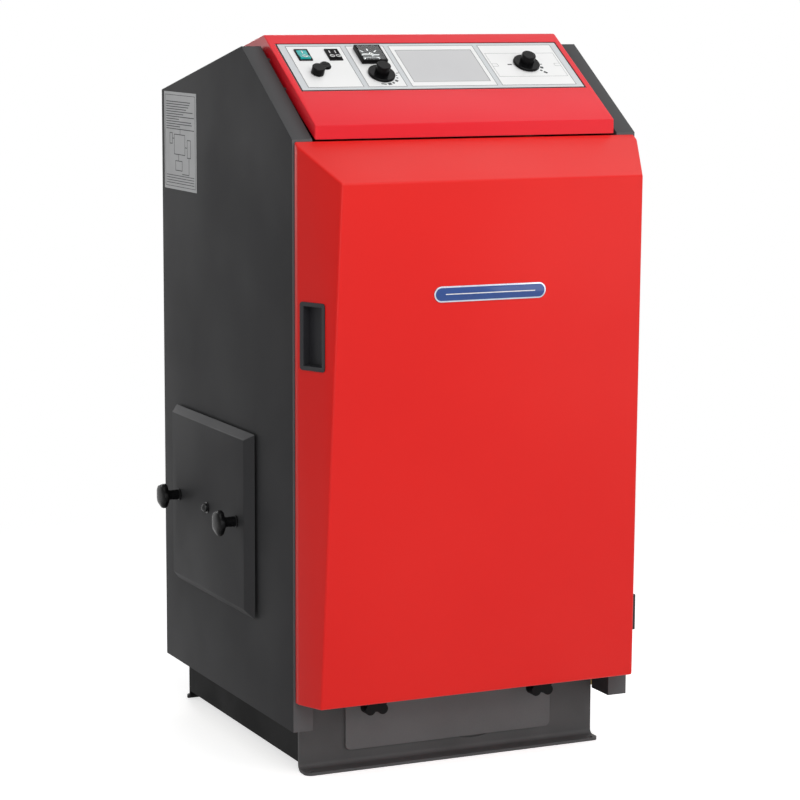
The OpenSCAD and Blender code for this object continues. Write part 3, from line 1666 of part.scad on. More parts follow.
placed() front_plate();
placed() water_jacket();
placed() firebox_shell();
placed() refractory_lining();
placed() grate();
placed() exchanger_tubes();
placed() turbulators();
placed() exchanger_lid();
placed() flue_spigot();
placed() water_sockets();
placed() cooling_loop();
placed() casing_insulation();
placed() left_side_panel();
placed() right_side_panel();
placed() rear_panel();
placed() rear_top_cover();
placed() hood();
placed() fascia();
placed() switch_plate();
placed() thermometer_plate();
placed() controller_plate();
placed() controller_window();
placed() thermostat_plate();
placed() switch_housings();
placed() power_rocker();
placed() left_pump_rocker();
placed() right_pump_rocker();
placed() safety_thermostat();
placed() safety_cap();
placed() reset_button();
placed() fuse_holder();
placed() fuse_cap();
placed() thermometer();
placed() thermometer_pointer();
placed() thermometer_lens();
placed() thermostat_bodies();
placed() boiler_thermostat_knob();
placed() flue_thermostat_knob();
placed() front_door_skin();
placed() front_door_pan();
placed() front_door_insulation();
placed() door_handle_cup();
placed() door_hinge_leaves();
placed() door_hinge_pins();
placed() door_catches();
placed() loading_door();
placed() loading_door_block();
placed() loading_door_handle();
placed() loading_door_hinge();
placed() ash_cover();
placed() ash_cover_left_knob();
placed() ash_cover_right_knob();
placed() ash_pan();
placed() side_cover();
placed() side_cover_gasket();
placed() side_cover_front_knob();
placed() side_cover_rear_knob();
placed() side_cover_cap_nut();
placed() burner_blanking_plate();
placed() burner_flange();
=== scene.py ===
# %% [markdown]
# Solid fuel boiler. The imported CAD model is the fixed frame: every sheet, hinge, knob and pipe
# already has its real size and place. This file gives them paint, metal, plastic, wool and
# concrete, rounds the folded edges that catch the light, and adds the small printed and fastened
# details that the drawing leaves out.

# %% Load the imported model
import json
import math
import bmesh
import bpy
from mathutils import Matrix, Vector

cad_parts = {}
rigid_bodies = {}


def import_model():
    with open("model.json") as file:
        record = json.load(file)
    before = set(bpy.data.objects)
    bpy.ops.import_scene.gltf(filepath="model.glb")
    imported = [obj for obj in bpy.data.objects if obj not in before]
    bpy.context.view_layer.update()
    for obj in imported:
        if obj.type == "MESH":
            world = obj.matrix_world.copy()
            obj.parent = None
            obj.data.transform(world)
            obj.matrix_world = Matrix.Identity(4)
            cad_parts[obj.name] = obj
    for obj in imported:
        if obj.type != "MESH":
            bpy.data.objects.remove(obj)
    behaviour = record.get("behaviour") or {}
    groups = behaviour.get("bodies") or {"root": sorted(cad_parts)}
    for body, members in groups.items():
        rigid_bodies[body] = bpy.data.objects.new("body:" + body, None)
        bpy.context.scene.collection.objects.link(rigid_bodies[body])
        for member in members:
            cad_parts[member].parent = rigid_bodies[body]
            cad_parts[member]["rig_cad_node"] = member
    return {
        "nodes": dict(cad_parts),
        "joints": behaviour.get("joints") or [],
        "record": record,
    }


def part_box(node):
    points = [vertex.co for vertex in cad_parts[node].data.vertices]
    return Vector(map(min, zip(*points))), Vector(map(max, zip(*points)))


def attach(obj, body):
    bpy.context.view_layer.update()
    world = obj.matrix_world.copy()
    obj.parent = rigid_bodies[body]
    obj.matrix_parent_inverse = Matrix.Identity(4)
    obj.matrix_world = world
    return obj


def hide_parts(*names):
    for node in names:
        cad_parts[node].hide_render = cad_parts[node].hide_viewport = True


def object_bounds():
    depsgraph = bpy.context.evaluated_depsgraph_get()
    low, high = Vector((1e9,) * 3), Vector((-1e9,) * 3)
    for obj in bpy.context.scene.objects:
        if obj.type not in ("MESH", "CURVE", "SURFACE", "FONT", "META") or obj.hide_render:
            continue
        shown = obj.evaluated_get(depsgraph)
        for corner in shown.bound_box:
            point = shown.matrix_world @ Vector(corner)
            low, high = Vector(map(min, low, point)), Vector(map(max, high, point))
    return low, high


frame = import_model()
cad_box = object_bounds()
joints = {joint["name"]: joint for joint in frame["joints"]}
body_of_node = {node: body for body, members in frame["record"]["behaviour"]["bodies"].items()
                for node in members}
mm = 0.001

# %% [markdown]
# The photograph was taken from the front left, slightly above. The camera was solved once from the
# casing's straight edges, so it stands where the real one stood, measured from the middle of the
# casing and from its front. A long lens keeps the vertical edges almost parallel, which is why it
# is 123 mm and not 50 mm.

# %% Camera
casing_low, casing_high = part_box("rear_panel")
casing_middle = (casing_low.x + casing_high.x) / 2
casing_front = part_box("right_side_panel")[0].y
left_of_middle = 1.9780
before_front = 3.9990
camera_height = 1.2860
camera_place = Vector((casing_middle - left_of_middle, casing_front - before_front, camera_height))
camera_yaw = math.radians(24.914)
camera_pitch = math.radians(8.558)
camera_roll = math.radians(0.193)
camera_lens = 123.28
sensor_width = 36
seen_until = 50


def add_camera():
    ahead = Vector((math.sin(camera_yaw) * math.cos(camera_pitch),
                    math.cos(camera_yaw) * math.cos(camera_pitch), -math.sin(camera_pitch)))
    level_right = Vector((math.cos(camera_yaw), -math.sin(camera_yaw), 0))
    level_up = level_right.cross(ahead)
    right = level_right * math.cos(camera_roll) + level_up * math.sin(camera_roll)
    up = level_up * math.cos(camera_roll) - level_right * math.sin(camera_roll)
    bpy.ops.object.camera_add()
    camera = bpy.context.active_object
    camera.name = "photo_camera"
    camera.data.lens = camera_lens
    camera.data.sensor_width = sensor_width
    camera.data.clip_end = seen_until
    turn = Matrix((right, up, -ahead)).transposed().to_4x4()
    camera.matrix_world = Matrix.Translation(camera_place) @ turn
    bpy.context.scene.camera = camera


add_camera()
print("camera lens:", camera_lens, "mm")

# %% [markdown]
# Two small tools come first. Colours are written as a screen shows them, from 0 to 255, because
# that is how a paint is compared with a picture; Blender computes with linear light, so one
# function converts them. The other adds a shader node and fills its inputs in one call, either
# with a value or with a link from another node.

# %% Colour and node tools
srgb_knee = 0.04045
srgb_slope = 12.92
srgb_offset = 0.055
srgb_power = 2.4


def to_linear(value):
    share = value / 255
    if share <= srgb_knee:
        return share / srgb_slope
    return ((share + srgb_offset) / (1 + srgb_offset)) ** srgb_power


def screen(red, green, blue):
    return (to_linear(red), to_linear(green), to_linear(blue), 1)


def add(tree, kind, choices=None, **inputs):
    made = tree.nodes.new("ShaderNode" + kind)
    for name, value in (choices or {}).items():
        setattr(made, name, value)
    for name, value in inputs.items():
        socket = made.inputs[int(name[1:]) if name[1:].isdigit() else name.replace("_", " ")]
        if isinstance(value, bpy.types.NodeSocket):
            tree.links.new(value, socket)
        else:
            socket.default_value = value
    return made


def math_node(tree, operation, first, second):
    return add(tree, "Math", {"operation": operation}, i0=first, i1=second).outputs[0]


print("mid grey on screen is", round(screen(128, 128, 128)[0], 3), "in linear light")

# %% [markdown]
# A studio for a product picture: one large soft lamp in front, one overhead that gives the
# sloping faces their shine, a small one behind to the left that gives the cover's knobs their
# edges, one behind for the views of the back, two weak fills near the floor, and an even pale
# room. The camera and the reflections see the room as plain white, but it lights the object only
# weakly, so the side that is turned away stays dark. The floor is real paper close by, where
# the shadow falls, and fades into the same white further out, so that no horizon shows.

# %% Lights and room
# Each lamp: side in metres, power in watts, place.
lamps = {
    "key_lamp": (3.0, 71, (-0.4, -3.0, 2.9)),
    "top_lamp": (2.4, 27, (1.3, -0.5, 3.4)),
    "side_lamp": (0.35, 12, (-2.3, 2.9, 1.25)),
    "rear_lamp": (1.8, 55, (1.0, 3.7, 1.8)),
    "low_lamp": (1.4, 17, (-1.3, -3.2, 0.45)),
    "fill_lamp": (2.2, 20, (2.4, -2.6, 1.0)),
}
lit_point = (Vector(cad_box[0]) + Vector(cad_box[1])) / 2
room_light = 0.24
paper_side = 24
paper_colour = (0.74, 0.74, 0.74, 1)
paper_lift = 0.68
fade_from = 0.7
fade_to = 2.0


def add_lamp(name, side, power, place):
    bpy.ops.object.light_add(type="AREA", location=place)
    lamp = bpy.context.active_object
    lamp.name = name
    lamp.data.shape = "SQUARE"
    lamp.data.size = side
    lamp.data.energy = power
    lamp.rotation_euler = (lit_point - Vector(place)).to_track_quat("-Z", "Y").to_euler()


def white_ray(tree):
    path = tree.nodes.new("ShaderNodeLightPath").outputs
    shiny = math_node(tree, "MAXIMUM", path["Is Glossy Ray"], path["Is Transmission Ray"])
    return math_node(tree, "MAXIMUM", path["Is Camera Ray"], shiny)


def build_room():
    world = bpy.data.worlds.new("pale_room")
    bpy.context.scene.world = world
    world.use_nodes = True
    tree = world.node_tree
    tree.nodes.clear()
    dim = add(tree, "Background", Color=(1, 1, 1, 1), Strength=room_light).outputs[0]
    white = add(tree, "Background", Color=(1, 1, 1, 1), Strength=1.0).outputs[0]
    mix = add(tree, "MixShader", i0=white_ray(tree), i1=dim, i2=white)
    add(tree, "OutputWorld", Surface=mix.outputs[0])


def build_floor():
    bpy.ops.mesh.primitive_plane_add(size=paper_side, location=(0, 0, 0))
    floor = bpy.context.active_object
    floor.name = "studio_floor"
    paper = bpy.data.materials.new("studio_paper")
    paper.use_nodes = True
    tree = paper.node_tree
    tree.nodes.clear()
    seen = white_ray(tree)
    diffuse = add(tree, "BsdfDiffuse", Color=paper_colour).outputs[0]
    lift = add(tree, "Emission", Strength=math_node(tree, "MULTIPLY", seen, paper_lift)).outputs[0]
    near = add(tree, "AddShader", i0=diffuse, i1=lift).outputs[0]
    white = add(tree, "Emission", Strength=1.0).outputs[0]
    point = add(tree, "TexCoord").outputs["Object"]
    reach = add(tree, "VectorMath", {"operation": "LENGTH"}, i0=point).outputs["Value"]
    fade = add(tree, "MapRange", {"interpolation_type": "SMOOTHSTEP"}, Value=reach,
               From_Min=fade_from, From_Max=fade_to).outputs[0]
    mix = add(tree, "MixShader", i0=math_node(tree, "MULTIPLY", seen, fade), i1=near, i2=white)
    add(tree, "OutputMaterial", Surface=mix.outputs[0])
    floor.data.materials.append(paper)


for name, lamp_values in lamps.items():
    add_lamp(name, *lamp_values)
build_room()
build_floor()
print("lamps:", ", ".join("%s %s W" % (name, values[1]) for name, values in lamps.items()))

# %% [markdown]
# Real surfaces are never one even colour. Six effects cover this boiler: the fine grain of powder
# coat, large uneven patches, the streaks of rolled or brushed metal, the pores of concrete and cast
# iron, the fibres of wool, and the crystals on zinc. Each is a node group that takes a colour, a
# roughness and a height, changes them where its own mask is bright, and hands them on, so that a
# material is a short chain of them. The masks read Object coordinates, which are metres here.

# %% Effect groups
fibre_ways = ((1, 0.12, 0.5), (0.15, 1, 0.4), (0.5, 0.3, 0.1))
# The pattern's values between which each mask goes from 0 to 1.
patch_ends = (0.38, 0.66)
pore_ends = (0.32, 0.12)
fibre_ends = (0.45, 0.75)
mask_middle = 0.5


def spread(tree, value, ends):
    return add(tree, "MapRange", Value=value, From_Min=ends[0], From_Max=ends[1]).outputs[0]


def fine_mask(tree, point, scale, given):
    return add(tree, "TexNoise", Vector=point, Scale=scale, Detail=2.0).outputs["Fac"]


def patch_mask(tree, point, scale, given):
    noise = add(tree, "TexNoise", Vector=point, Scale=scale, Detail=4.0).outputs["Fac"]
    return spread(tree, noise, patch_ends)


def streak_mask(tree, point, scale, given):
    drawn = add(tree, "VectorMath", {"operation": "MULTIPLY"}, i0=point, i1=given["Stretch"])
    return add(tree, "TexNoise", Vector=drawn.outputs[0], Scale=scale, Detail=3.0).outputs["Fac"]


def pore_mask(tree, point, scale, given):
    cells = add(tree, "TexVoronoi", Vector=point, Scale=scale).outputs["Distance"]
    return spread(tree, cells, pore_ends)


def fibre_mask(tree, point, scale, given):
    layers = []
    for stretch in fibre_ways:
        drawn = add(tree, "VectorMath", {"operation": "MULTIPLY"}, i0=point, i1=stretch)
        noise = add(tree, "TexNoise", Vector=drawn.outputs[0], Scale=scale, Detail=2.0)
        layers.append(noise.outputs["Fac"])
    top = math_node(tree, "MAXIMUM", math_node(tree, "MAXIMUM", layers[0], layers[1]), layers[2])
    return spread(tree, top, fibre_ends)


def crystal_mask(tree, point, scale, given):
    cells = add(tree, "TexVoronoi", Vector=point, Scale=scale).outputs["Color"]
    return add(tree, "SeparateColor", Color=cells).outputs[0]


def build_effect(title, mask_of):
    group = bpy.data.node_groups.new(title, "ShaderNodeTree")
    shared = [("Colour", "Color", (0.5, 0.5, 0.5, 1)), ("Roughness", "Float", 0.5),
              ("Height", "Float", 0.0)]
    own = [("Tint", "Color", (0, 0, 0, 1)), ("Size", "Float", 0.01), ("Amount", "Float", 0.2),
           ("Roughening", "Float", 0.0), ("Relief", "Float", 0.0), ("Stretch", "Vector", (1, 1, 1))]
    for name, kind, value in shared + own:
        socket = group.interface.new_socket(name, in_out="INPUT", socket_type="NodeSocket" + kind)
        socket.default_value = value
    for name, kind, value in shared:
        group.interface.new_socket(name, in_out="OUTPUT", socket_type="NodeSocket" + kind)
    given = group.nodes.new("NodeGroupInput").outputs
    result = group.nodes.new("NodeGroupOutput").inputs
    point = add(group, "TexCoord").outputs["Object"]
    scale = math_node(group, "DIVIDE", 1.0, given["Size"])
    mask = mask_of(group, point, scale, given)
    cover = math_node(group, "MULTIPLY", mask, given["Amount"])
    mixed = add(group, "Mix", {"data_type": "RGBA"}, i0=cover, i6=given["Colour"],
                i7=given["Tint"])
    uneven = math_node(group, "SUBTRACT", mask, mask_middle)
    rough = math_node(group, "MULTIPLY", uneven, given["Roughening"])
    relief = math_node(group, "MULTIPLY", mask, given["Relief"])
    group.links.new(mixed.outputs[2], result["Colour"])
    group.links.new(math_node(group, "ADD", given["Roughness"], rough), result["Roughness"])
    group.links.new(math_node(group, "ADD", given["Height"], relief), result["Height"])
    return group


effects = {
    "grain": build_effect("fine_grain", fine_mask),
    "patches": build_effect("patches", patch_mask),
    "streaks": build_effect("streaks", streak_mask),
    "pores": build_effect("pores", pore_mask),
    "fibres": build_effect("fibres", fibre_mask),
    "crystals": build_effect("crystals", crystal_mask),
}
print("effect groups:", ", ".join(effects))

# %% [markdown]
# A material is then a base colour, a roughness and a chain of effects. The last height goes through
# one Bump node into the Principled shader. Everything that is the same all over, such as metallic
# or coat, is set on the shader itself. Colours are given as a screen shows them.

# %% Material maker
grain_size = 0.0011
patch_size = 0.22
finish = {}


def make_finish(name, colour, roughness, chain, bump=0.25, depth=0.0004, gloss=0.3,
                **shader_values):
    material = bpy.data.materials.new(name)
    material.use_nodes = True
    tree = material.node_tree
    shader = tree.nodes["Principled BSDF"]
    shader.inputs["Specular IOR Level"].default_value = gloss
    for socket, value in shader_values.items():
        shader.inputs[socket.replace("_", " ")].default_value = value
    last = {"Colour": screen(*colour), "Roughness": roughness}
    for effect, values in chain:
        step = tree.nodes.new("ShaderNodeGroup")
        step.node_tree = effects[effect]
        for socket, value in values.items():
            step.inputs[socket].default_value = value
        for socket, value in last.items():
            if isinstance(value, bpy.types.NodeSocket):
                tree.links.new(value, step.inputs[socket])
            else:
                step.inputs[socket].default_value = value
        last = {socket: step.outputs[socket] for socket in ("Colour", "Roughness", "Height")}
    tree.links.new(last["Colour"], shader.inputs["Base Color"])
    tree.links.new(last["Roughness"], shader.inputs["Roughness"])
    relief = add(tree, "Bump", Strength=bump, Distance=depth, Height=last["Height"])
    tree.links.new(relief.outputs[0], shader.inputs["Normal"])
    finish[name] = material


def layer(kind, tint, amount, size, roughening, relief, stretch=(1, 1, 1)):
    return (kind, {"Tint": screen(*tint), "Amount": amount, "Size": size,
                   "Roughening": roughening, "Relief": relief, "Stretch": stretch})


def grain(tint, amount=0.12, size=grain_size, relief=1.0, roughening=0.12):
    return layer("grain", tint, amount, size, roughening, relief)


def patches(tint, amount=0.25, size=patch_size, roughening=0.08, relief=0.0):
    return layer("patches", tint, amount, size, roughening, relief)


def streaks(tint, stretch, amount=0.4, size=0.004, roughening=0.15, relief=0.4):
    return layer("streaks", tint, amount, size, roughening, relief, stretch)


def pores(tint, amount=0.5, size=0.006, relief=-1.5, roughening=0.1):
    return layer("pores", tint, amount, size, roughening, relief)


def fibres(tint, amount=0.6, size=0.008, relief=2.0):
    return layer("fibres", tint, amount, size, 0.0, relief)


def crystals(tint, amount=0.35, size=0.012, roughening=0.2):
    return layer("crystals", tint, amount, size, roughening, 0.0)


print("powder grain", grain_size / mm, "mm, patches", patch_size / mm, "mm")

# %% [markdown]
# Paints first. The casing is dark grey powder coat, a fine paler grain over broad, slightly darker
# patches, and there are two paler mixes of it that are painted highlights for folded edges that
# face the light. The door and the hood are two reds: the hood's is a little pinker, partly a
# painted sheen for the pale shine its slopes catch from above. The welded body wears a matt
# heat-resistant paint with a coarser grain; its darkest mix is painted shade on the water jacket's
# recessed sides, and its palest is painted light on the ash cover in the shade under the door.

# %% Paints
along_x = (0.04, 1, 1)
along_y = (1, 0.04, 1)
along_z = (1, 1, 0.04)

make_finish(
    "casing_grey", (60, 60, 61), 0.5,
    [patches((54, 54, 55), 0.5), grain((72, 72, 74), 0.25)], gloss=0.03)
# A paler mix of the casing paint: painted highlight for the sloping folded edges that face the
# light.
make_finish(
    "casing_slope_highlight", (68, 68, 69), 0.5,
    [patches((62, 62, 63), 0.5), grain((80, 80, 82), 0.25)], gloss=0.1)
# The palest mix: painted highlight for the upright folded edges facing front and the side cover's
# upper slope.
make_finish(
    "casing_front", (88, 88, 89), 0.5,
    [patches((81, 81, 82), 0.5), grain((101, 101, 103), 0.25)], gloss=0.1)
make_finish(
    "body_paint", (80, 80, 81), 0.58,
    [patches((68, 68, 69), 0.7, 0.12), grain((106, 105, 104), 0.3, 0.0018)],
    bump=0.35, gloss=0.2)
# A paler mix of the body paint: painted light for the ash cover, which lies in the shade under the
# door.
make_finish(
    "ash_cover_painted_light", (100, 100, 101), 0.55,
    [patches((90, 90, 91), 0.6, 0.1), grain((122, 121, 120), 0.3, 0.0018)],
    bump=0.3, gloss=0.2)
# A darker mix of the body paint: painted shade for the water jacket's low sides, recessed under the
# casing.
make_finish(
    "body_painted_shade", (26, 26, 27), 0.55,
    [patches((20, 20, 21), 0.6, 0.1), grain((40, 40, 40), 0.3, 0.0018)],
    bump=0.35, gloss=0.03)
make_finish(
    "door_red", (220, 26, 20), 0.4,
    [patches((214, 20, 18), 0.5, 0.35), grain((226, 34, 28), 0.25)],
    bump=0.18, gloss=0.25)
# The hood's red is the door's red made a little pinker: partly its own colour, partly a painted
# sheen for the pale shine its slopes catch from above.
make_finish(
    "hood_red", (221, 23, 38), 0.38,
    [patches((214, 18, 33), 0.5, 0.3), grain((227, 33, 48), 0.25)],
    bump=0.18, gloss=0.26)
make_finish(
    "fascia_grey", (201, 204, 206), 0.42,
    [patches((196, 199, 202), 0.5, 0.12), streaks((218, 220, 222), along_x, 0.25)],
    bump=0.12)
make_finish(
    "plate_white", (233, 233, 233), 0.4,
    [patches((226, 226, 225), 0.4, 0.08), grain((244, 244, 243), 0.3, 0.0008)],
    bump=0.06)
make_finish(
    "window_grey", (196, 196, 197), 0.5,
    [patches((190, 190, 192), 0.4, 0.08), grain((206, 206, 207), 0.4, 0.0008)],
    bump=0.06)
print("paints:", len(finish))

# %% [markdown]
# Metals next. Rolled steel shows streaks along the way it was rolled, soot darkens the fire side,
# cast iron is pitted, zinc coating shows its crystals, and drawn copper has fine lines along it.

# %% Metals
make_finish(
    "raw_steel", (92, 88, 84), 0.5,
    [streaks((120, 114, 108), along_z, 0.5, 0.006), patches((46, 42, 39), 0.7, 0.16),
     pores((40, 36, 34), 0.4, 0.011, -0.5)], Metallic=0.75)
make_finish(
    "sooty_steel", (66, 61, 57), 0.72,
    [patches((30, 27, 25), 0.8, 0.09, 0.15, 1.0), pores((92, 84, 76), 0.4, 0.007, 0.8),
     grain((20, 19, 18), 0.5, 0.0022)], Metallic=0.35, bump=0.5)
make_finish(
    "zinc_sheet", (172, 174, 176), 0.38,
    [crystals((204, 206, 208)), streaks((150, 152, 155), along_x, 0.3)], Metallic=0.9)
make_finish(
    "zinc_bolt", (176, 176, 170), 0.32,
    [patches((150, 150, 140), 0.5, 0.012), grain((196, 196, 190), 0.4, 0.0006)],
    Metallic=0.95)
make_finish(
    "cast_iron", (58, 56, 55), 0.7,
    [pores((36, 35, 34), 0.6, 0.004, -1.2), patches((78, 66, 58), 0.35, 0.05),
     grain((84, 82, 80), 0.3, 0.0015)], Metallic=0.5, bump=0.5)
make_finish(
    "black_steel", (16, 16, 17), 0.24,
    [patches((12, 12, 13), 0.5, 0.03), grain((34, 34, 35), 0.25)])
make_finish(
    "copper_pipe", (190, 118, 78), 0.34,
    [streaks((214, 146, 104), along_y, 0.5, 0.003), patches((120, 74, 52), 0.5, 0.05)],
    Metallic=1.0)
make_finish(
    "zigzag_steel", (112, 106, 100), 0.55,
    [streaks((140, 132, 124), along_z, 0.5, 0.004), patches((52, 46, 42), 0.7, 0.06)],
    Metallic=0.7)
print("paints and metals:", len(finish))

# %% [markdown]
# Then what isn't metal: concrete and fibre board round the fire, yellow mineral wool behind the
# sheets, black and coloured plastics on the controls, rubber, and one clear pane.

# %% Concrete, wool, plastics and glass
make_finish(
    "refractory", (206, 192, 166), 0.86,
    [pores((150, 136, 112), 0.6, 0.009, -2.0), patches((126, 112, 96), 0.5, 0.11),
     grain((226, 214, 190), 0.4, 0.0024)], bump=0.7)
make_finish(
    "door_board", (214, 208, 190), 0.92,
    [fibres((232, 228, 214), 0.6, 0.006), patches((188, 178, 156), 0.5, 0.1)], bump=0.5)
make_finish(
    "mineral_wool", (196, 178, 106), 0.96,
    [fibres((224, 208, 140), 0.7), patches((158, 138, 76), 0.6, 0.06, 0.0, 2.0)],
    bump=0.9, depth=0.0015, Sheen_Weight=0.3)
make_finish(
    "black_plastic", (10, 10, 11), 0.24,
    [patches((20, 20, 21), 0.5, 0.02), grain((30, 30, 31), 0.2, 0.0007)],
    bump=0.08, gloss=0.08)
make_finish(
    "cup_plastic", (30, 30, 33), 0.46,
    [patches((38, 38, 41), 0.5, 0.03), grain((56, 56, 60), 0.35, 0.0009)], bump=0.3)
make_finish(
    "teal_plastic", (4, 168, 164), 0.22,
    [patches((30, 196, 190), 0.5, 0.01), grain((0, 140, 138), 0.3, 0.0008)],
    bump=0.06, Coat_Weight=0.5, Coat_Roughness=0.08)
make_finish(
    "red_plastic", (188, 36, 28), 0.3,
    [patches((160, 26, 22), 0.5, 0.006), grain((210, 60, 50), 0.3, 0.0006)], bump=0.1)
make_finish(
    "pointer_white", (236, 236, 232), 0.35,
    [patches((214, 214, 208), 0.5, 0.006), grain((250, 250, 248), 0.3, 0.0006)],
    bump=0.1)
make_finish(
    "rubber", (28, 28, 28), 0.8,
    [pores((14, 14, 14), 0.6, 0.0022, -0.8), grain((50, 50, 49), 0.3)], bump=0.5)
make_finish(
    "clear_pane", (250, 252, 253), 0.02,
    [patches((246, 249, 250), 0.4, 0.02, 0.01)], bump=0.0, gloss=0.08,
    Transmission_Weight=1.0, IOR=1.45)
print("all finishes:", len(finish))

# %% [markdown]
# Every CAD node now gets its finish. A node that a rounded copy replaces later keeps it too,
# because the copy takes over the node's material.

# %% Finishes on the CAD nodes
finish_of = {
    "casing_grey": "left_side_panel right_side_panel rear_panel rear_top_cover side_cover "
                   "exchanger_lid door_hinge_leaves door_hinge_pins loading_door_hinge",
    "body_paint": "front_plate flue_spigot",
    # The ash cover's paler mix is painted light.
    "ash_cover_painted_light": "ash_cover",
    # The water jacket's darker mix is painted shade.
    "body_painted_shade": "water_jacket",
    "sooty_steel": "firebox_shell exchanger_tubes",
    "zigzag_steel": "turbulators",
    "cast_iron": "grate",
    "refractory": "refractory_lining loading_door_block",
    "raw_steel": "loading_door burner_flange",
    "zinc_bolt": "water_sockets",
    "copper_pipe": "cooling_loop",
    "mineral_wool": "casing_insulation",
    "door_board": "front_door_insulation",
    "zinc_sheet": "front_door_pan ash_pan burner_blanking_plate",
    # The hood's pinker red is partly painted sheen.
    "hood_red": "hood",
    "door_red": "front_door_skin",
    "fascia_grey": "fascia",
    "plate_white": "switch_plate thermometer_plate controller_plate thermostat_plate",
    "window_grey": "controller_window",
    "black_plastic": "switch_housings safety_thermostat safety_cap fuse_holder fuse_cap "
                     "thermometer thermostat_bodies boiler_thermostat_knob flue_thermostat_knob "
                     "side_cover_front_knob side_cover_rear_knob ash_cover_left_knob "
                     "ash_cover_right_knob loading_door_handle left_pump_rocker "
                     "right_pump_rocker door_catches",
    "cup_plastic": "door_handle_cup",
    "teal_plastic": "power_rocker",
    "red_plastic": "reset_button",
    "pointer_white": "thermometer_pointer",
    "clear_pane": "thermometer_lens",
    "rubber": "side_cover_gasket",
    "black_steel": "side_cover_cap_nut",
}


def paint(piece, name):
    piece.data.materials.clear()
    piece.data.materials.append(finish[name])


for name, nodes in finish_of.items():
    for node in nodes.split():
        paint(frame["nodes"][node], name)
bare = set(frame["nodes"]) - set(" ".join(finish_of.values()).split())
print("nodes without a finish:", sorted(bare))

# %% [markdown]
# Folded sheet never has a knife edge. The drawing's edges are sharp, so the sheets, doors, covers
# and moulded controls are copied, and the copy gets small bends where its outside turns. The copy's
# triangles are first merged and its flat faces joined, so that only real folds are left. An edge is
# bevelled when both faces beside it are wider than the bend and it turns outwards, which leaves the
# sheet's thin cut edges crisp.

# %% Selection tools
merge_gap = 0.00001
flat_turn = math.radians(0.4)
smooth_turn = math.radians(32)


def only(*pieces):
    bpy.ops.object.select_all(action="DESELECT")
    for piece in pieces:
        piece.select_set(True)
    bpy.context.view_layer.objects.active = pieces[-1]


def edit(piece):
    only(piece)
    bpy.ops.object.mode_set(mode="EDIT")
    bpy.ops.mesh.select_all(action="SELECT")


def leave_edit():
    bpy.ops.object.mode_set(mode="OBJECT")


def keep(piece, name, body, look=None):
    piece.name = name
    piece.data.name = name
    if look:
        paint(piece, look)
    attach(piece, body)


def turn_of(joint):
    return Vector(joints[joint]["pos_m"]), Vector(joints[joint]["axis"])


# %% Rounded copies of the sheet parts
least_fold = math.radians(20)
bend_room = 2.2
bend_segments = 3


def face_width(face):
    return 2 * face.calc_area() / max(face.calc_perimeter(), merge_gap)


def rounded_copy(node, radius):
    only(frame["nodes"][node])
    bpy.ops.object.duplicate()
    piece = bpy.context.active_object
    bpy.ops.object.parent_clear(type="CLEAR_KEEP_TRANSFORM")
    del piece["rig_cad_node"]
    edit(piece)
    bpy.ops.mesh.remove_doubles(threshold=merge_gap)
    bpy.ops.mesh.customdata_custom_splitnormals_clear()
    bpy.ops.mesh.dissolve_limited(angle_limit=flat_turn)
    bpy.ops.mesh.select_mode(type="EDGE")
    bpy.ops.mesh.select_all(action="DESELECT")
    shape = bmesh.from_edit_mesh(piece.data)
    shape.normal_update()
    folds = 0
    for edge in shape.edges:
        if len(edge.link_faces) == 2 and edge.calc_face_angle_signed(0) > least_fold:
            if min(face_width(face) for face in edge.link_faces) > bend_room * radius:
                edge.select = True
                folds += 1
    bmesh.update_edit_mesh(piece.data)
    if folds:
        bpy.ops.mesh.bevel(offset=radius, segments=bend_segments, affect="EDGES",
                           clamp_overlap=True)
    leave_edit()
    bpy.ops.object.shade_smooth_by_angle(angle=smooth_turn)
    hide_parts(node)
    keep(piece, node + "_rounded", body_of_node[node])
    return piece, folds


bends = {
    "front_door_skin": 3.0, "hood": 2.6, "left_side_panel": 2.0, "right_side_panel": 2.0,
    "rear_top_cover": 2.0, "side_cover": 2.0, "ash_cover": 1.4, "door_handle_cup": 1.6,
    "loading_door": 1.6, "loading_door_block": 4.0, "loading_door_handle": 2.0,
    "exchanger_lid": 2.0, "ash_pan": 1.2, "fascia": 1.0, "thermometer": 1.0,
    "switch_housings": 0.7, "power_rocker": 0.8, "left_pump_rocker": 0.8,
    "right_pump_rocker": 0.8, "boiler_thermostat_knob": 0.9, "flue_thermostat_knob": 0.9,
    "safety_cap": 1.2, "fuse_cap": 0.8, "ash_cover_left_knob": 1.6, "ash_cover_right_knob": 1.6,
    "front_door_insulation": 3.0, "side_cover_gasket": 1.2, "grate": 1.2,
    "refractory_lining": 3.0, "turbulators": 0.5, "burner_blanking_plate": 1.0,
    "door_hinge_pins": 0.6, "door_hinge_leaves": 0.6, "door_catches": 0.8,
}
rounded = {}
for node, radius in bends.items():
    rounded[node], folds = rounded_copy(node, radius * mm)
    print(node, "bends:", folds)

# %% [markdown]
# The hood hangs on small clip pins at its sides. They sit in the shadow gap beside the casing, so
# on the copy the faces further out than the hood's own side are given the dark casing paint:
# painted shade for that gap.

# %% Clip pins painted dark as shade
broad_face = 0.002
pin_gap = 0.2 * mm
hood = rounded["hood"]
hood.data.materials.append(finish["casing_grey"])
hood_low, hood_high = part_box("hood")
hood_middle = (hood_high.x + hood_low.x) / 2
side_x = max(abs(face.center.x - hood_middle) for face in hood.data.polygons
             if face.area > broad_face)
pin_faces = 0
# Faces further out than the hood's side take the dark casing paint as painted shade.
for face in hood.data.polygons:
    if abs(face.center.x - hood_middle) > side_x + pin_gap:
        face.material_index = 1
        pin_faces += 1
print("clip pin faces:", pin_faces, "hood half width:", round(side_x / mm, 1), "mm")

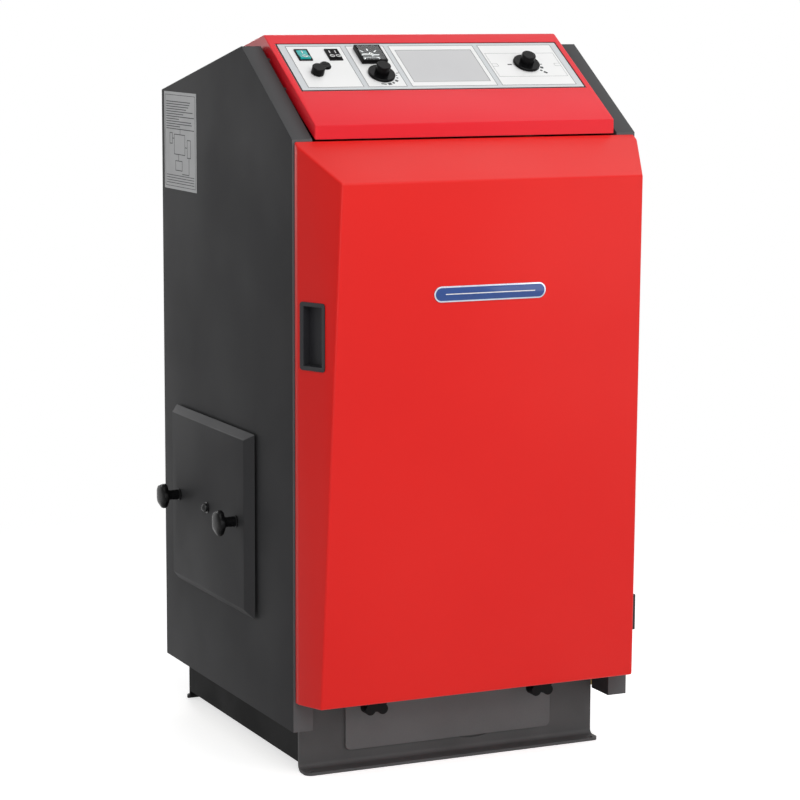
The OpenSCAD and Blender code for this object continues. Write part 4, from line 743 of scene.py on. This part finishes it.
# %% [markdown]
# The side panels' folded edges face the light, so in the picture they stand out pale against the
# sides: the sloping ones beside the hood a little, the upright ones beside the door and the upper
# slope of the side cover more. Those faces of the copies get the same paint in two paler mixes,
# which are painted highlights for the light these edges catch.

# %% Painted highlights on folded edges
# A face looks some way when its normal's share of that direction is above these.
turned = 0.3
leaning = 0.2
pale = 0
for node in ("left_side_panel", "right_side_panel"):
    panel = rounded[node]
    panel.data.materials.append(finish["casing_slope_highlight"])
    panel.data.materials.append(finish["casing_front"])
    # Upright faces turned to the front get the palest mix, sloping ones the other: painted
    # highlights.
    for face in panel.data.polygons:
        if face.normal.y < -turned and abs(face.normal.x) < turned:
            face.material_index = 2 if face.normal.z < turned else 1
            pale += 1
cover = rounded["side_cover"]
cover.data.materials.append(finish["casing_front"])
# The side cover's upper slope gets the palest mix: a painted highlight.
for face in cover.data.polygons:
    if face.normal.z > turned and face.normal.x < -leaning:
        face.material_index = 1
        pale += 1
print("pale edge faces:", pale)

# %% [markdown]
# The control face slopes, so places on it are given in its own directions: across, up the slope
# and out of it. The thermostat knob's axis already points straight into the face, so the three
# directions come from that joint.

# %% Directions on the sloping face
across = Vector((1, 0, 0))
outwards = -turn_of("flue_knob_turn")[1].normalized()
upwards = outwards.cross(across)


def frame_of(right, up, out, place=(0, 0, 0)):
    return Matrix.Translation(place) @ Matrix((right, up, out)).transposed().to_4x4()


def face_point(point):
    return Vector((point.dot(across), point.dot(upwards), point.dot(outwards)))


def face_box(node):
    points = [face_point(vertex.co) for vertex in frame["nodes"][node].data.vertices]
    return tuple(Vector([pick(point[i] for point in points) for i in range(3)])
                 for pick in (min, max))


# The same three directions for things on the boiler's left side and on its back.
leftwards = ((0, -1, 0), (0, 0, 1), (-1, 0, 0))
backwards = ((-1, 0, 0), (0, 0, 1), (0, 1, 0))
face_turn = frame_of(across, upwards, outwards)
print("slope:", round(math.degrees(math.asin(upwards.z)), 1), "degrees")

# %% [markdown]
# The white plates carry dial marks, and thin grey lines round their edges that are painted shade:
# the edges of these slightly raised plates show as dark lines. Ink is modelled as what it is, a
# film a tenth of a millimetre thick. Each mark starts as one flat square, which is stretched and
# turned into place; all marks of a plate are joined and get their thickness together. An outline is
# four such bars that meet at the corners. The fascia's rim reaches 10 mm under the hood all round,
# and the gap left between the two is painted shade: a thin black band, made the same way, lies
# there in place of the gap's shadow.

# %% Printing tools
ink_thickness = 0.12 * mm


def bar(x, y, width, height, turn=0.0):
    bpy.ops.mesh.primitive_plane_add(size=1, location=(x, y, 0), rotation=(0, 0, turn))
    piece = bpy.context.active_object
    piece.scale = (width, height, 1)
    return piece


def outline(low, high, line):
    middle_x, middle_y = (low[0] + high[0]) / 2, (low[1] + high[1]) / 2
    width = high[0] - low[0]
    upright = high[1] - low[1] - 2 * line
    return [bar(middle_x, low[1] + line / 2, width, line),
            bar(middle_x, high[1] - line / 2, width, line),
            bar(low[0] + line / 2, middle_y, line, upright),
            bar(high[0] - line / 2, middle_y, line, upright)]


def ring(radius, line, squeeze):
    bpy.ops.mesh.primitive_circle_add(vertices=40, radius=radius, fill_type="NGON")
    piece = bpy.context.active_object
    edit(piece)
    bpy.ops.mesh.inset(thickness=line)
    bpy.ops.mesh.delete(type="FACE")
    leave_edit()
    piece.scale = (squeeze, 1, 1)
    return piece


def print_marks(name, marks, place, body, look, thickness=ink_thickness):
    only(*marks)
    if len(marks) > 1:
        bpy.ops.object.join()
    piece = bpy.context.active_object
    bpy.ops.object.transform_apply(location=True, rotation=True, scale=True)
    film = piece.modifiers.new("film", "SOLIDIFY")
    film.thickness = thickness
    film.offset = 1
    bpy.ops.object.modifier_apply(modifier=film.name)
    piece.data.transform(place)
    keep(piece, name, body, look)


def print_on(node, name, marks, look, thickness=ink_thickness, sink=0.0):
    height = face_box(node)[1].z - sink
    print_marks(name, marks, face_turn @ Matrix.Translation((0, 0, height)), "boiler", look,
                thickness)


# Each ink: its colour, roughness, and the colours of its patches and specks.
inks = {
    "ink_dark": ((58, 60, 62), 0.6, (70, 72, 74), (90, 92, 94)),
    # The black entry is painted shade for the gap under the hood; the grey entry is print on the
    # flue dial frame and painted shade along plate edges.
    "gap_shade_black": ((20, 16, 18), 0.7, (28, 24, 26), (40, 36, 38)),
    "grey_ink_and_edge_shade": ((112, 114, 117), 0.6, (124, 126, 128), (140, 142, 144)),
    "ink_white": ((232, 233, 232), 0.5, (222, 223, 222), (242, 242, 240)),
}
for name, (colour, roughness, patch, speck) in inks.items():
    make_finish(name, colour, roughness, [patches(patch, 0.5, 0.01), grain(speck, 0.3, 0.0007)],
                bump=0.05)
print("ink is", ink_thickness / mm, "mm thick")

# %% Painted edge shade round the white plates and gap shade under the hood
edge_shade_line = 0.9 * mm
gap_shade_inset = Vector((9.1 * mm, 9.1 * mm, 0))
gap_shade_line = 1.9 * mm
gap_shade_thickness = 0.35 * mm
gap_shade_sink = 0.3 * mm
# Grey lines round the plates and the controller window: painted shade along their slightly raised
# edges.
for node in ("switch_plate", "thermometer_plate", "controller_plate", "thermostat_plate"):
    print_on(node, node + "_outline", outline(*face_box(node), edge_shade_line),
             "grey_ink_and_edge_shade")
print_on("controller_window", "window_outline", outline(*face_box("controller_window"), edge_shade_line),
         "grey_ink_and_edge_shade")
# A thin black band round the hood's opening on the fascia: painted shade for the gap between hood
# and fascia.
low, high = face_box("fascia")
print_on("fascia", "fascia_gap_shade", outline(low + gap_shade_inset, high - gap_shade_inset, gap_shade_line),
         "gap_shade_black", gap_shade_thickness, gap_shade_sink)
# The plates' grey edge lines and the fascia's black band are painted shade.
print("white plates outlined, fascia sealed")

# %% [markdown]
# Round the boiler thermostat a row of blocks grows from a thin dash on the right to a full one at
# the bottom, where it is hottest. The flue thermostat has a dash at its left end and a few blocks
# at its right, inside a thin ruled frame with a small notch on each side.

# %% Dial marks round the knobs
# Each mark: distance from the knob's middle in mm, angle in degrees, depth and width in mm.
boiler_marks = [(31.5, 8, 6.0, 1.5), (26.7, -5, 2.6, 2.4), (27.0, -21, 3.0, 2.8),
                (27.4, -40, 5.0, 5.2), (27.0, -60, 4.0, 4.0), (27.2, -78, 5.0, 6.6),
                (27.0, -101, 2.6, 9.0)]
flue_marks = [(31.0, 180, 8.0, 3.0), (27.6, 0, 5.0, 2.0), (27.4, -21, 5.4, 5.6),
              (27.8, -41, 4.0, 4.0), (36.0, -42, 6.6, 4.4)]
frame_line = 0.45 * mm
frame_margin = 5.0 * mm
frame_below = 35.4 * mm
frame_above = 33.4 * mm
notch = 7.5 * mm
notch_depth = 11 * mm
notch_drop = 1.2 * mm


def spokes(centre, marks):
    bars = []
    for radius, angle, depth, width in marks:
        turn = math.radians(angle)
        x = centre[0] + radius * mm * math.cos(turn)
        y = centre[1] + radius * mm * math.sin(turn)
        bars.append(bar(x, y, depth * mm, width * mm, turn))
    return bars


boiler_knob = face_point(turn_of("boiler_knob_turn")[0])
flue_knob = face_point(turn_of("flue_knob_turn")[0])
print_on("thermometer_plate", "boiler_dial_marks", spokes(boiler_knob, boiler_marks),
         "ink_dark")
print_on("thermostat_plate", "flue_dial_marks", spokes(flue_knob, flue_marks),
         "ink_dark")
low, high = face_box("thermostat_plate")
frame_low = (low.x + frame_margin, flue_knob.y - frame_below)
frame_high = (high.x - frame_margin, flue_knob.y + frame_above)
notch_y = flue_knob.y - notch_drop
ruled = outline(frame_low, frame_high, frame_line)
for side, edge in ((1, frame_low[0]), (-1, frame_high[0])):
    for level in (-notch / 2, notch / 2):
        ruled.append(bar(edge + side * notch_depth / 2, notch_y + level, notch_depth, frame_line))
    ruled.append(bar(edge + side * notch_depth, notch_y, frame_line, notch))
print_on("thermostat_plate", "flue_dial_frame", ruled, "grey_ink_and_edge_shade")
print("dial marks:", len(boiler_marks) + len(flue_marks))

# %% [markdown]
# The rocker switches say I and O. Those marks ride on the rockers, whose tops are hollowed, so a
# ray is sent down onto each rocker and the mark is laid on the spot it hits, turned as the surface
# is there.

# %% Marks on the rockers
bpy.context.view_layer.update()
rockers = ("power_rocker", "left_pump_rocker", "right_pump_rocker")
mark_reach = 0.27
ray_start = 5 * mm
on_width = 1.3 * mm
on_height = 6.4 * mm
on_thickness = 0.7 * mm
off_radius = 5.0 * mm
off_line = 0.9 * mm
off_squeeze = 0.8
off_thickness = 1.0 * mm


def surface_under(node, x, y):
    start = across * x + upwards * y + outwards * (face_box(node)[1].z + ray_start)
    return rounded[node].ray_cast(start, -outwards)[1:3]


def lie_on(node, x, y):
    place, normal = surface_under(node, x, y)
    up = normal.cross(across).normalized()
    return frame_of(across, up, normal, place)


for node in rockers:
    low, high = face_box(node)
    middle_x, middle_y = (low.x + high.x) / 2, (low.y + high.y) / 2
    reach = (high.y - low.y) * mark_reach
    print_marks(node + "_on_mark", [bar(0, 0, on_width, on_height)],
                lie_on(node, middle_x, middle_y + reach), node, "ink_white",
                on_thickness)
    print_marks(node + "_off_mark", [ring(off_radius, off_line, off_squeeze)],
                lie_on(node, middle_x, middle_y - reach), node, "ink_white",
                off_thickness)
print("rocker marks:", 2 * len(rockers))

# %% [markdown]
# The thermometer's scale lies on the floor of its housing, under the pane: three ticks over a
# white band with a boss in the middle, and a thin rule and two ticks below. The pointer turns over
# it. The pane is clear, but to the renderer it would still shade the scale, so it casts no shadow.

# %% Thermometer scale
# Each tick is given as a dial mark is; each bar by x, y, width and height in mm, and its turn.
scale_ticks = [(15.5, 142, 6.5, 2.1), (14.0, 92, 5.5, 2.1), (15.5, 38, 6.5, 2.1),
               (18.0, 222, 5.0, 1.7), (16.0, 318, 5.0, 1.7)]
scale_bars = [(-0.5, -1.2, 34, 2.3, 0), (3, -1.2, 6, 6, 45), (0, -8, 30, 0.9, 0)]
scale_rise = 1 * mm
floor_right = 12 * mm
floor_down = 6 * mm
gauge = face_point(turn_of("thermometer_pointer_swing")[0])
floor_place = surface_under("thermometer", gauge.x + floor_right, gauge.y - floor_down)[0]
scale_floor = face_turn @ Matrix.Translation((0, 0, face_point(floor_place).z))
scale_x, scale_y = gauge.x, gauge.y + scale_rise
print_marks("thermometer_ticks", spokes((scale_x, scale_y), scale_ticks), scale_floor, "boiler",
            "ink_white")
band = [bar(scale_x + x * mm, scale_y + y * mm, width * mm, height * mm, math.radians(angle))
        for x, y, width, height, angle in scale_bars]
print_marks("thermometer_band", band, scale_floor, "boiler", "ink_white")
frame["nodes"]["thermometer_lens"].visible_shadow = False
print("scale ticks:", len(scale_ticks))

# %% [markdown]
# The door leans back a little towards its foot, so the plain blue badge on it gets its directions
# from the largest triangle of the door's skin. The badge is a long plate with rounded ends: a flat
# bar whose corners and top edge are bevelled makes the bright rim, and a smaller and thinner one
# made in the same way lies on it as the blue field.

# %% Badge on the door
badge_w = 200 * mm
badge_h = 26 * mm
badge_t = 2.2 * mm
badge_z = 0.8035
badge_left = 5 * mm
rim_edge = 0.8 * mm
field_margin = 5 * mm
field_t = 0.4 * mm
field_edge = 0.15 * mm
line_margin = 40 * mm
line_h = 1.4 * mm
round_end = 0.499
upright = 0.9


def largest_face(node):
    faces = frame["nodes"][node].data.polygons
    best = max(faces, key=lambda face: face.area)
    return best.center.copy(), best.normal.copy()


door_point, door_out = largest_face("front_door_skin")
door_up = door_out.cross(across).normalized()
badge_y = door_point.y - (badge_z - door_point.z) * door_out.z / door_out.y
door_low, door_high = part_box("front_door_skin")
door_middle = (door_low.x + door_high.x) / 2
badge_place = frame_of(across, door_up, door_out, (door_middle - badge_left, badge_y, badge_z))
make_finish(
    "badge_blue", (18, 62, 132), 0.24,
    [patches((14, 50, 116), 0.5, 0.03), grain((36, 84, 156), 0.25, 0.0009)],
    bump=0.06, Coat_Weight=0.6, Coat_Roughness=0.06)
make_finish(
    "badge_rim", (196, 208, 222), 0.22,
    [streaks((220, 228, 236), along_x, 0.4, 0.002), patches((160, 174, 190), 0.4, 0.02)],
    bump=0.08, Metallic=0.85)


def select_only_where(piece, kind, wanted):
    bpy.ops.mesh.select_mode(type=kind)
    bpy.ops.mesh.select_all(action="DESELECT")
    shape = bmesh.from_edit_mesh(piece.data)
    shape.normal_update()
    for part in shape.edges if kind == "EDGE" else shape.faces:
        part.select = wanted(part)
    bmesh.update_edit_mesh(piece.data)


def edge_rise(side):
    return abs(side.verts[1].co.z - side.verts[0].co.z)


def stadium(name, width, height, thickness, edge, place, look):
    bpy.ops.mesh.primitive_cube_add(size=1, location=(0, 0, thickness / 2),
                                    scale=(width, height, thickness))
    piece = bpy.context.active_object
    bpy.ops.object.transform_apply(location=True, rotation=True, scale=True)
    edit(piece)
    select_only_where(piece, "EDGE", lambda side: edge_rise(side) > thickness / 2)
    bpy.ops.mesh.bevel(offset=height * round_end, segments=16, affect="EDGES")
    select_only_where(piece, "FACE", lambda side: side.normal.z > upright)
    bpy.ops.mesh.bevel(offset=edge, segments=2, affect="EDGES")
    leave_edit()
    bpy.ops.object.shade_smooth_by_angle(angle=smooth_turn)
    piece.data.transform(place)
    keep(piece, name, "front_door", look)


stadium("badge_rim", badge_w, badge_h, badge_t, rim_edge, badge_place, "badge_rim")
stadium("badge_field", badge_w - field_margin, badge_h - field_margin, field_t, field_edge,
        badge_place @ Matrix.Translation((0, 0, badge_t)), "badge_blue")
print_marks("badge_line", [bar(0, 0, badge_w - line_margin, line_h)],
            badge_place @ Matrix.Translation((0, 0, badge_t + field_t)), "front_door",
            "ink_white")
print("badge at", [round(value, 3) for value in badge_place.translation])

# %% [markdown]
# High on the left side sits a pale film plate, ruled like a blank form: a border, rows of rules of
# several lengths, and four empty boxes joined by lines.

# %% Ruled plate on the side
make_finish(
    "film_grey", (184, 185, 186), 0.5,
    [patches((175, 176, 177), 0.5, 0.05), grain((194, 194, 195), 0.3, 0.0009)], bump=0.08)
plate_w = 158 * mm
plate_h = 170 * mm
plate_t = 0.4 * mm
plate_back = 504 * mm
plate_z = 1.020
border_inset = 5 * mm
border_line = 0.9 * mm
row_inset = 5 * mm
row_line = 1.5 * mm
row_start = 12
row_step = 4.3
row_shares = [0.86, 0.84, 0.8, 0.72, 0.95, 0.62, 1.0, 0.46, 0.9, 0.92, 0.5, 1.0]
foot_rows = 4
foot_line = 1.2 * mm
foot_start = 6
foot_step = 4.5
foot_inset = 12 * mm
box_line = 1.4 * mm
# Boxes by their two corners, links between them by their middle and size, all in mm.
boxes = [((-30, -24), (24, 12)), ((34, -28), (52, 4)), ((-52, -6), (-38, 14)),
         ((-24, -52), (10, -34))]
links = [(29, -10, 10, 1.4), (-34, 4, 8, 1.4), (-8, -29, 1.4, 10), (43, -43, 1.4, 30),
         (26, -57, 34, 1.4), (0, 17, 1.4, 10)]
panel_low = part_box("left_side_panel")[0]
side_place = frame_of(*leftwards, (panel_low.x, panel_low.y + plate_back, plate_z))
print_marks("side_plate", [bar(0, 0, plate_w, plate_h)], side_place, "boiler",
            "film_grey", plate_t)
corner = Vector((plate_w / 2 - border_inset, plate_h / 2 - border_inset))
rules = outline(-corner, corner, border_line)
row_left = -corner.x + row_inset
row_full = 2 * corner.x - 2 * row_inset
for row, share in enumerate(row_shares):
    rules.append(bar(row_left + row_full * share / 2, corner.y - (row_start + row_step * row) * mm,
                     row_full * share, row_line))
for row in range(foot_rows):
    rules.append(bar(0, -corner.y + (foot_start + foot_step * row) * mm,
                     2 * corner.x - foot_inset, foot_line))
for box_low, box_high in boxes:
    rules += outline(Vector(box_low) * mm, Vector(box_high) * mm, box_line)
rules += [bar(*(value * mm for value in link)) for link in links]
print_marks("side_plate_rules", rules, side_place @ Matrix.Translation((0, 0, plate_t)), "boiler",
            "ink_dark")
print("side plate", plate_w / mm, "by", plate_h / mm, "mm")

# %% [markdown]
# The two knobs on the side cover are moulded mushrooms with shallow finger hollows round the rim.
# A lathe shape suits them: a disc is extruded ring by ring, narrow for the stem, wide for the head
# and narrow again over the dome, starting inside the bore so that the stud still fits. The hollows
# are then pressed in by drawing the rim's points towards the axis in a five-fold wave.

# %% Scalloped knobs of the side cover
def lathe(rings, sides=60):
    radius, height = rings[0]
    bpy.ops.mesh.primitive_circle_add(vertices=sides, radius=radius, location=(0, 0, height),
                                      fill_type="NGON")
    piece = bpy.context.active_object
    bpy.ops.object.transform_apply(location=True, rotation=True, scale=True)
    edit(piece)
    for next_radius, next_height in rings[1:]:
        rise = (0, 0, next_height - height)
        bpy.ops.mesh.extrude_region_move(TRANSFORM_OT_translate={"value": rise})
        share = next_radius / radius
        bpy.ops.transform.resize(value=(share, share, 1), center_override=(0, 0, 0))
        radius, height = next_radius, next_height
    bpy.ops.mesh.select_all(action="SELECT")
    bpy.ops.mesh.normals_make_consistent(inside=False)
    leave_edit()
    return piece


def copy_of(source, place):
    only(source)
    bpy.ops.object.duplicate()
    piece = bpy.context.active_object
    piece.data.transform(place)
    return piece


knob_low, knob_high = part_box("side_cover_front_knob")
knob_l = knob_high.x - knob_low.x
knob_r = (knob_high.z - knob_low.z) / 2
stem_r = 9 * mm
stud_r = 5.2 * mm
bore = 10 * mm
foot_r = stem_r + 1.2 * mm
under_head = knob_l - 14 * mm
hollows = 5
hollow_depth = 0.13
hollow_from = 0.6
# Each ring: radius and height above the foot.
knob_rings = [
    (stud_r, knob_l - bore), (stud_r, 0), (foot_r, 0), (foot_r, 1.5 * mm), (stem_r, 3 * mm),
    (stem_r * 0.92, under_head - 8 * mm), (stem_r, under_head - 3 * mm),
    (knob_r * 0.62, under_head), (knob_r * 0.9, under_head + 1.5 * mm),
    (knob_r, under_head + 4 * mm), (knob_r, knob_l - 5.5 * mm), (knob_r * 0.95, knob_l - 3 * mm),
    (knob_r * 0.82, knob_l - 1.4 * mm), (knob_r * 0.5, knob_l - 0.4 * mm), (knob_r * 0.1, knob_l)]
knob = lathe(knob_rings)
for vertex in knob.data.vertices:
    reach = math.hypot(vertex.co.x, vertex.co.y)
    if reach > knob_r * hollow_from:
        wave = (1 - math.cos(hollows * math.atan2(vertex.co.y, vertex.co.x))) / 2
        draw_in = 1 - hollow_depth * wave * (reach / knob_r) ** 2
        vertex.co.x *= draw_in
        vertex.co.y *= draw_in
only(knob)
bpy.ops.object.shade_smooth_by_angle(angle=smooth_turn)
for node in ("side_cover_front_knob", "side_cover_rear_knob"):
    low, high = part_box(node)
    foot = (high.x, (low.y + high.y) / 2, (low.z + high.z) / 2)
    moulded = copy_of(knob, frame_of(*leftwards, foot))
    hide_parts(node)
    keep(moulded, node + "_moulded", body_of_node[node], "black_plastic")
bpy.data.objects.remove(knob)
print("side cover knobs:", round(knob_l / mm, 1), "mm long, radius", round(knob_r / mm, 1), "mm")

# %% [markdown]
# Sheet-metal screws with a hexagon and a flange hold the rear sheets. One is modelled, then copied
# with its own mesh to each place: down both edges of the rear panel and along the hem of the rear
# cover.

# %% Screws
hex_r = 4.0 * mm
hex_depth = 4 * mm
hex_middle = 2.6 * mm
hex_edge = 0.5 * mm
flange_r = 6.0 * mm
flange_rings = [(flange_r, 0), (flange_r, 0.7 * mm), (hex_r * 1.05, 1.3 * mm)]
panel_inset = 14 * mm
panel_levels = (0.125, 0.34, 0.56, 0.78, 0.995)
cover_inset = 40 * mm
cover_hem = 10 * mm
screw = lathe(flange_rings, 24)
bpy.ops.mesh.primitive_cylinder_add(vertices=6, radius=hex_r, depth=hex_depth,
                                    location=(0, 0, hex_middle))
hexagon = bpy.context.active_object
edit(hexagon)
bpy.ops.mesh.bevel(offset=hex_edge, segments=2, affect="EDGES")
leave_edit()
only(hexagon, screw)
bpy.ops.object.join()
bpy.ops.object.transform_apply(location=True, rotation=True, scale=True)
bpy.ops.object.shade_smooth_by_angle(angle=smooth_turn)
rear_low, rear_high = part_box("rear_panel")
cover_low, cover_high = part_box("rear_top_cover")
rows = [((x, rear_high.y, z), "boiler")
        for x in (rear_low.x + panel_inset, rear_high.x - panel_inset) for z in panel_levels]
rows += [((x, cover_high.y, cover_low.z + cover_hem), "rear_cover")
         for x in (cover_low.x + cover_inset, cover_high.x - cover_inset)]
for number, (place, body) in enumerate(rows, 1):
    keep(copy_of(screw, frame_of(*backwards, place)), "rear_screw_%d" % number, body,
         "zinc_bolt")
bpy.data.objects.remove(screw)
print("screws:", len(rows))

# %% [markdown]
# The colours were chosen as they show on a screen, so the picture is kept plain: Blender's Standard
# view, with nothing added.

# %% Finish
bpy.context.scene.view_settings.view_transform = "Standard"
